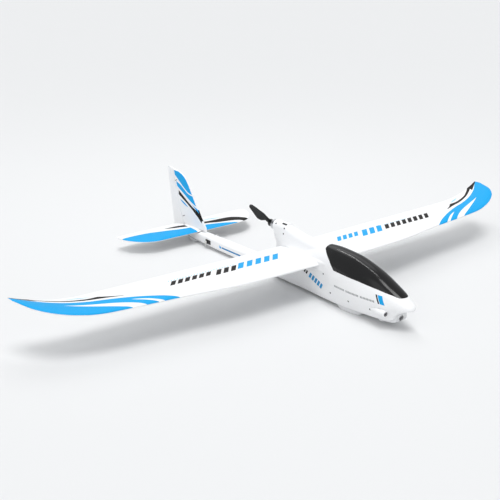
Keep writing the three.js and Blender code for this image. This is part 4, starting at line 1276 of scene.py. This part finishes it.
def live_hinge(name, start, end, body):
    """The thin bridge of foam across a control surface's hinge gap, between the ends of its hinge line."""
    outline = [(-HINGE_GAP - 1, -0.5), (-HINGE_GAP - 1, 0.5), (-0.6, 0.35), (0.6, 0.3), (1.2, 0.3),
               (1.2, -0.3), (0.6, -0.3), (-0.6, -0.35)]
    strip = loft([[point + AFT * a + UP * h for a, h in outline] for point in (start, end)])
    dress(strip, name, "foam_white")
    (start - AFT * HINGE_GAP) * MM
    (start + AFT * 0.2) * MM
    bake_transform(strip)


def build_live_hinges():
    for name, sign in SIDES:
        ends = [aileron_hinge(x) for x in (AILERON_INNER + 2, AILERON_OUTER - 2)]
        live_hinge(f"aileron_{name}_bridge", *(Vector((sign * p.x, p.y, p.z)) for p in ends),
                   f"aileron_{name}")
        ends = [Vector((sign * x, ELEVATOR_Y, STAB_Z)) for x in (42, 221)]
        live_hinge(f"elevator_{name}_bridge", *ends, "elevator")


# ---- Fittings ------------------------------------------------------------------------------


def bezier(points, steps=10):
    """Points along a cubic curve, without its last one."""
    a, b, c, d = (np.array(p, float) for p in points)
    return [tuple(a * (1 - t)**3 + 3 * b * t * (1 - t)**2 + 3 * c * t**2 * (1 - t) + d * t**3)
            for t in (k / steps for k in range(steps))]


def build_belly(hull):
    clearance = clearance_of(hull)
    plan = bezier([(0, -44), (20, -44), (27, -10), (27, 22)])
    plan += bezier([(27, 22), (27, 44), (18, 62), (0, 62)])
    plan += bezier([(0, 62), (-18, 62), (-27, 44), (-27, 22)])
    plan += bezier([(-27, 22), (-27, -10), (-20, -44), (0, -44)])
    skid = loft([[(x, y, z) for x, y in plan] for z in (0, 24)])
    side = [(-60, 14), (-50, 11), (-26, 0), (32, 0), (54, 6), (70, 8), (70, 24), (-60, 24)]
    common(skid, prism(side, -40, 40))
    cut(bevelled(skid, 1.6, 3, 30), clearance, keep=True)
    piece(biggest(skid), "belly_pad", "airframe", "foam_grey", "belly_skid")
    bumper = prism([(660, 22), (668, 8), (680, 0), (700, 0), (714, 6), (722, 22)], -11, 11)
    cut(bevelled(bumper, 2.2, 4, 30), clearance, keep=True)
    piece(biggest(bumper), "tail_pad", "airframe", "foam_grey", "tail_bumper")
    front, rear, half, low = CHIN_FRONT, -95, 20, 20
    outline = [(front, low + 2), (front - 2, 46), (rear, 46), (rear, 8), (front + 10, low - 3)]
    chin = prism(outline, -half, half)
    cut(bevelled(chin, 4, 5, 30), lens_hole())
    cut(chin, clearance, keep=True)
    piece(biggest(chin), "chin_pad", "airframe", "foam_grey", "chin_block")
    wide = clearance_of(hull, 2 * GAP)
    mouth, root = Vector(INTAKE_MOUTH), Vector(INTAKE_ROOT)
    run = root - mouth
    tube = turned([(0.02, 6.4), (0.4, 7.2), (1.2, 7.6), (run.length - 18, 7.6), (run.length, 6.2)], mouth,
                  run)
    cut(tube, turned([(-1, 6.4), (0, 6.2), (1.5, INTAKE_BORE), (run.length + 5, INTAKE_BORE)], mouth, run))
    cut(tube, wide, keep=True)
    piece_on_both_sides(biggest(tube), "intake_SIDE", "airframe", "foam_intake", "cooling_intake_SIDE")
    discard(clearance)
    discard(wide)


def build_screws():
    """Cross-headed screws that hold the two shells together."""
    for index, (y, z) in enumerate(SCREWS):
        for name, sign in SIDES:
            side = screw_side(index)
            head = turned([(0, 0.9), (5.4, 0.9), (5.5, 1.0), (7.9, 1.85), (8.6, 1.75), (9.0, 1.2)],
                          (sign * (side - 9), y, z), (sign, 0, 0), 32)
            for a, b in ((0.22, 1.1), (1.1, 0.22)):
                cut(head, block((sign * side - 1.0, y - a, z - b), (sign * side + 1.0, y + a, z + b)))
            piece(head, f"cross_screw_{name}_{index + 1}", "airframe", "screw_steel",
                  f"shell_screw_{name}_{index + 1}")


# ---- Power ---------------------------------------------------------------------------------

PROP_PLANE, PROP_RADIUS, PROP_REST = 338, 99, math.radians(140)
BLADE_CHORD = profile([(0, 11), (10, 12), (20, 11), (30, 19), (45, 22), (65, 18), (85, 13), (95, 9.6),
                       (99, 5)])
BLADE_BULGE = profile([(0, 0), (20, 0), (32, 3.5), (50, 3.5), (80, 1), (99, 0)])
BLADE_UPPER = profile([(-0.5, 0.02), (-0.47, 0.24), (-0.35, 0.5), (-0.05, 0.62), (0.3, 0.4), (0.5, 0.03)])
BLADE_LOWER = profile([(-0.5, -0.02), (-0.47, -0.14), (-0.2, -0.36), (0.2, -0.3), (0.5, -0.03)])
BLADE_PITCH, SHAFT_BORE = 115, 2.8


def blade_ring(radius, steps=16):
    chord, bulge = BLADE_CHORD(radius), BLADE_BULGE(radius)
    pitch = math.atan(BLADE_PITCH / (2 * math.pi * max(radius, 26)))
    thickness = 4.2 - 2.9 * radius / PROP_RADIUS
    shares = [-0.5 * math.cos(i / steps * math.pi) for i in range(steps + 1)]
    section = [(c, BLADE_UPPER(c)) for c in shares] + [(c, BLADE_LOWER(c)) for c in reversed(shares)]
    ring = []
    for share, height in section:
        across, deep = share * chord + bulge, height * thickness
        ring.append((radius, deep * math.cos(pitch) + across * math.sin(pitch),
                     across * math.cos(pitch) - deep * math.sin(pitch)))
    return ring


def build_propeller():
    blade = loft([blade_ring(r) for r in stations(0, 90, 3) + stations(91.5, PROP_RADIUS, 1.5)])
    other = copy_of(blade, Matrix.Rotation(math.pi, 4, "Y"))
    hub = turned([(0, 8.4), (1, 10), (10.6, 10), (12, 9)], (0, -7, 0), AFT, 64)
    joined(hub, blade, other)
    recess = turned([(0, 7.6), (1.4, 7.6), (2.5, 8.4)], (0, 3.2, 0), AFT)
    cut(hub, rod((0, -20, 0), (0, 20, 0), SHAFT_BORE), recess)
    hub.data.transform(Matrix.Translation(Vector((0, PROP_PLANE, MOTOR_Z)) * MM)
                       @ Matrix.Rotation(-PROP_REST, 4, "Y"))
    piece(hub, "two_blade_propeller", "propeller", "nylon_black", "propeller", 32)
    nut = turned([(0, 4.2), (0.5, 4.6), (4.0, 4.6), (4.7, 3.9)], (0, PROP_PLANE + 5.3, MOTOR_Z), AFT, 6)
    cut(nut, axis_rod(330, 360, SHAFT_BORE))
    piece(nut, "shaft_nut", "propeller", "steel", "propeller_nut", 30)


def around(count, make, shift=0.0):
    """Copies of a piece turned about the motor's axis."""
    centre = Matrix.Translation((0, 0, MOTOR_Z * MM))
    source = make()
    copies = [copy_of(source, centre @ Matrix.Rotation(2 * math.pi * (k + shift) / count, 4, "Y")
                      @ centre.inverted()) for k in range(count)]
    discard(source)
    return copies


def build_motor():
    can = on_axis([(301, 13.4), (301.6, 13.9), (325.6, 13.9), (327, 12.6)], 72)
    cut(can, axis_rod(300, 324, 11.6, 72))
    cut(can, *around(6, lambda: block((-1.9, 322, MOTOR_Z + 6.8), (1.9, 330, MOTOR_Z + 10.6))))
    cut(can, cut(on_axis([(318, 14.5), (319, 14.5)], 72), axis_rod(310, 330, 13.6, 72)))
    boss = on_axis([(325.5, 6), (330.5, 6), (331, 5.5)])
    shaft = on_axis([(299, 2.5), (349.4, 2.5), (350, 2.0)])
    piece(joined(can, boss, shaft), "motor_can", "propeller", "aluminium", "motor_bell")
    core = on_axis([(297.3, 5.6), (318, 5.6)])
    teeth = around(12, lambda: block((-0.8, 300, MOTOR_Z + 4), (0.8, 316, MOTOR_Z + 10.7)))
    coils = around(12, lambda: bevelled(block((-1.7, 298.4, MOTOR_Z + 6), (1.7, 317.6, MOTOR_Z + 9.6)),
                                        0.8))
    joined(core, *teeth, *coils)
    cut(core, axis_rod(290, 330, 3.2))
    piece(core, "wound_stator", "airframe", "winding", "motor_stator")
    mount = on_axis([(294, 14.2), (294.4, 14.6), (296.6, 14.6), (297, 14.2)], 64)
    holes = around(4, lambda: rod((0, 290, MOTOR_Z + 8), (0, 300, MOTOR_Z + 8), 1.6))
    notches = around(4, lambda: block((-2, 290, MOTOR_Z + 11), (2, 300, MOTOR_Z + 17)), 0.5)
    cut(mount, axis_rod(290, 300, 3.2), *holes, *notches)
    piece(mount, "cross_mount", "airframe", "aluminium", "motor_mount")


# ---- Equipment under the canopy ------------------------------------------------------------


def build_equipment():
    floor = BAY["floor"] + GAP
    top = floor + 3
    tray = bevelled(block((-21, -86, floor), (21, 92, top)), 0.4, 2)
    for y in (-60, -10, 8, 46, 74):
        for x in (-17, 15):
            cut(tray, bevelled(block((x - 1, y - 6, 20), (x + 3, y + 6, 40)), 1, 2))
    piece(tray, "ply_tray", "airframe", "plywood", "equipment_tray")
    on = top + GAP
    battery = bevelled(block((-17.5, -80, on), (17.5, 26, on + 26)), 3, 5)
    piece(battery, "flight_battery", "airframe", "battery_wrap", "battery")
    controller = bevelled(block((-14, 32, on), (14, 60, on + 5)), 0.5)
    for x in (-11.5, -7, -2.5, 2, 6.5):
        joined(controller, bevelled(block((x, 34, on + 4), (x + 3, 50, on + 11)), 0.4, 2))
    for x in (-9, 0, 9):
        joined(controller, turned([(0, 3), (4.6, 3), (5.2, 2.4)], (x, 55, on + 4.5), UP, 24))
    piece(controller, "motor_controller", "airframe", "circuit", "speed_controller")
    receiver = bevelled(block((-11, 64, on), (11, 90, on + 14)), 1.0)
    cut(receiver, bevelled(block((-9, 60, on + 3), (9, 68, on + 11)), 0.3, 2))
    for x in range(-8, 9, 4):
        joined(receiver, block((x - 0.4, 65, on + 6), (x + 0.4, 69, on + 8)))
    piece(receiver, "radio_receiver", "airframe", "nylon_black", "receiver")


def finish_kept_nodes():
    """CAD nodes whose own shape is right keep it and get a material here."""
    kept = {"wing_spar": "carbon", "elevator_joiner": "steel", "deck_magnet": "steel",
            "canopy_magnet": "steel",
            "rudder_hinge_lower": "nylon_black", "rudder_hinge_upper": "nylon_black"}
    for name, look in kept.items():
        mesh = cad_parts[name].data
        mesh.materials.clear()
        mesh.materials.append(LOOKS[look])


hull = smooth_hull()
build_fuselage(hull)
build_canopy()
build_wings(hull)
build_stabilizer()
build_fin(hull)
build_live_hinges()
build_belly(hull)
discard(hull)
build_screws()
build_linkage(AILERON_LINK, "aileron_left")
build_linkage(AILERON_LINK, "aileron_right", True)
build_linkage(ELEVATOR_LINK, "elevator")
build_linkage(RUDDER_LINK, "rudder")
build_motor()
build_propeller()
build_equipment()
finish_kept_nodes()
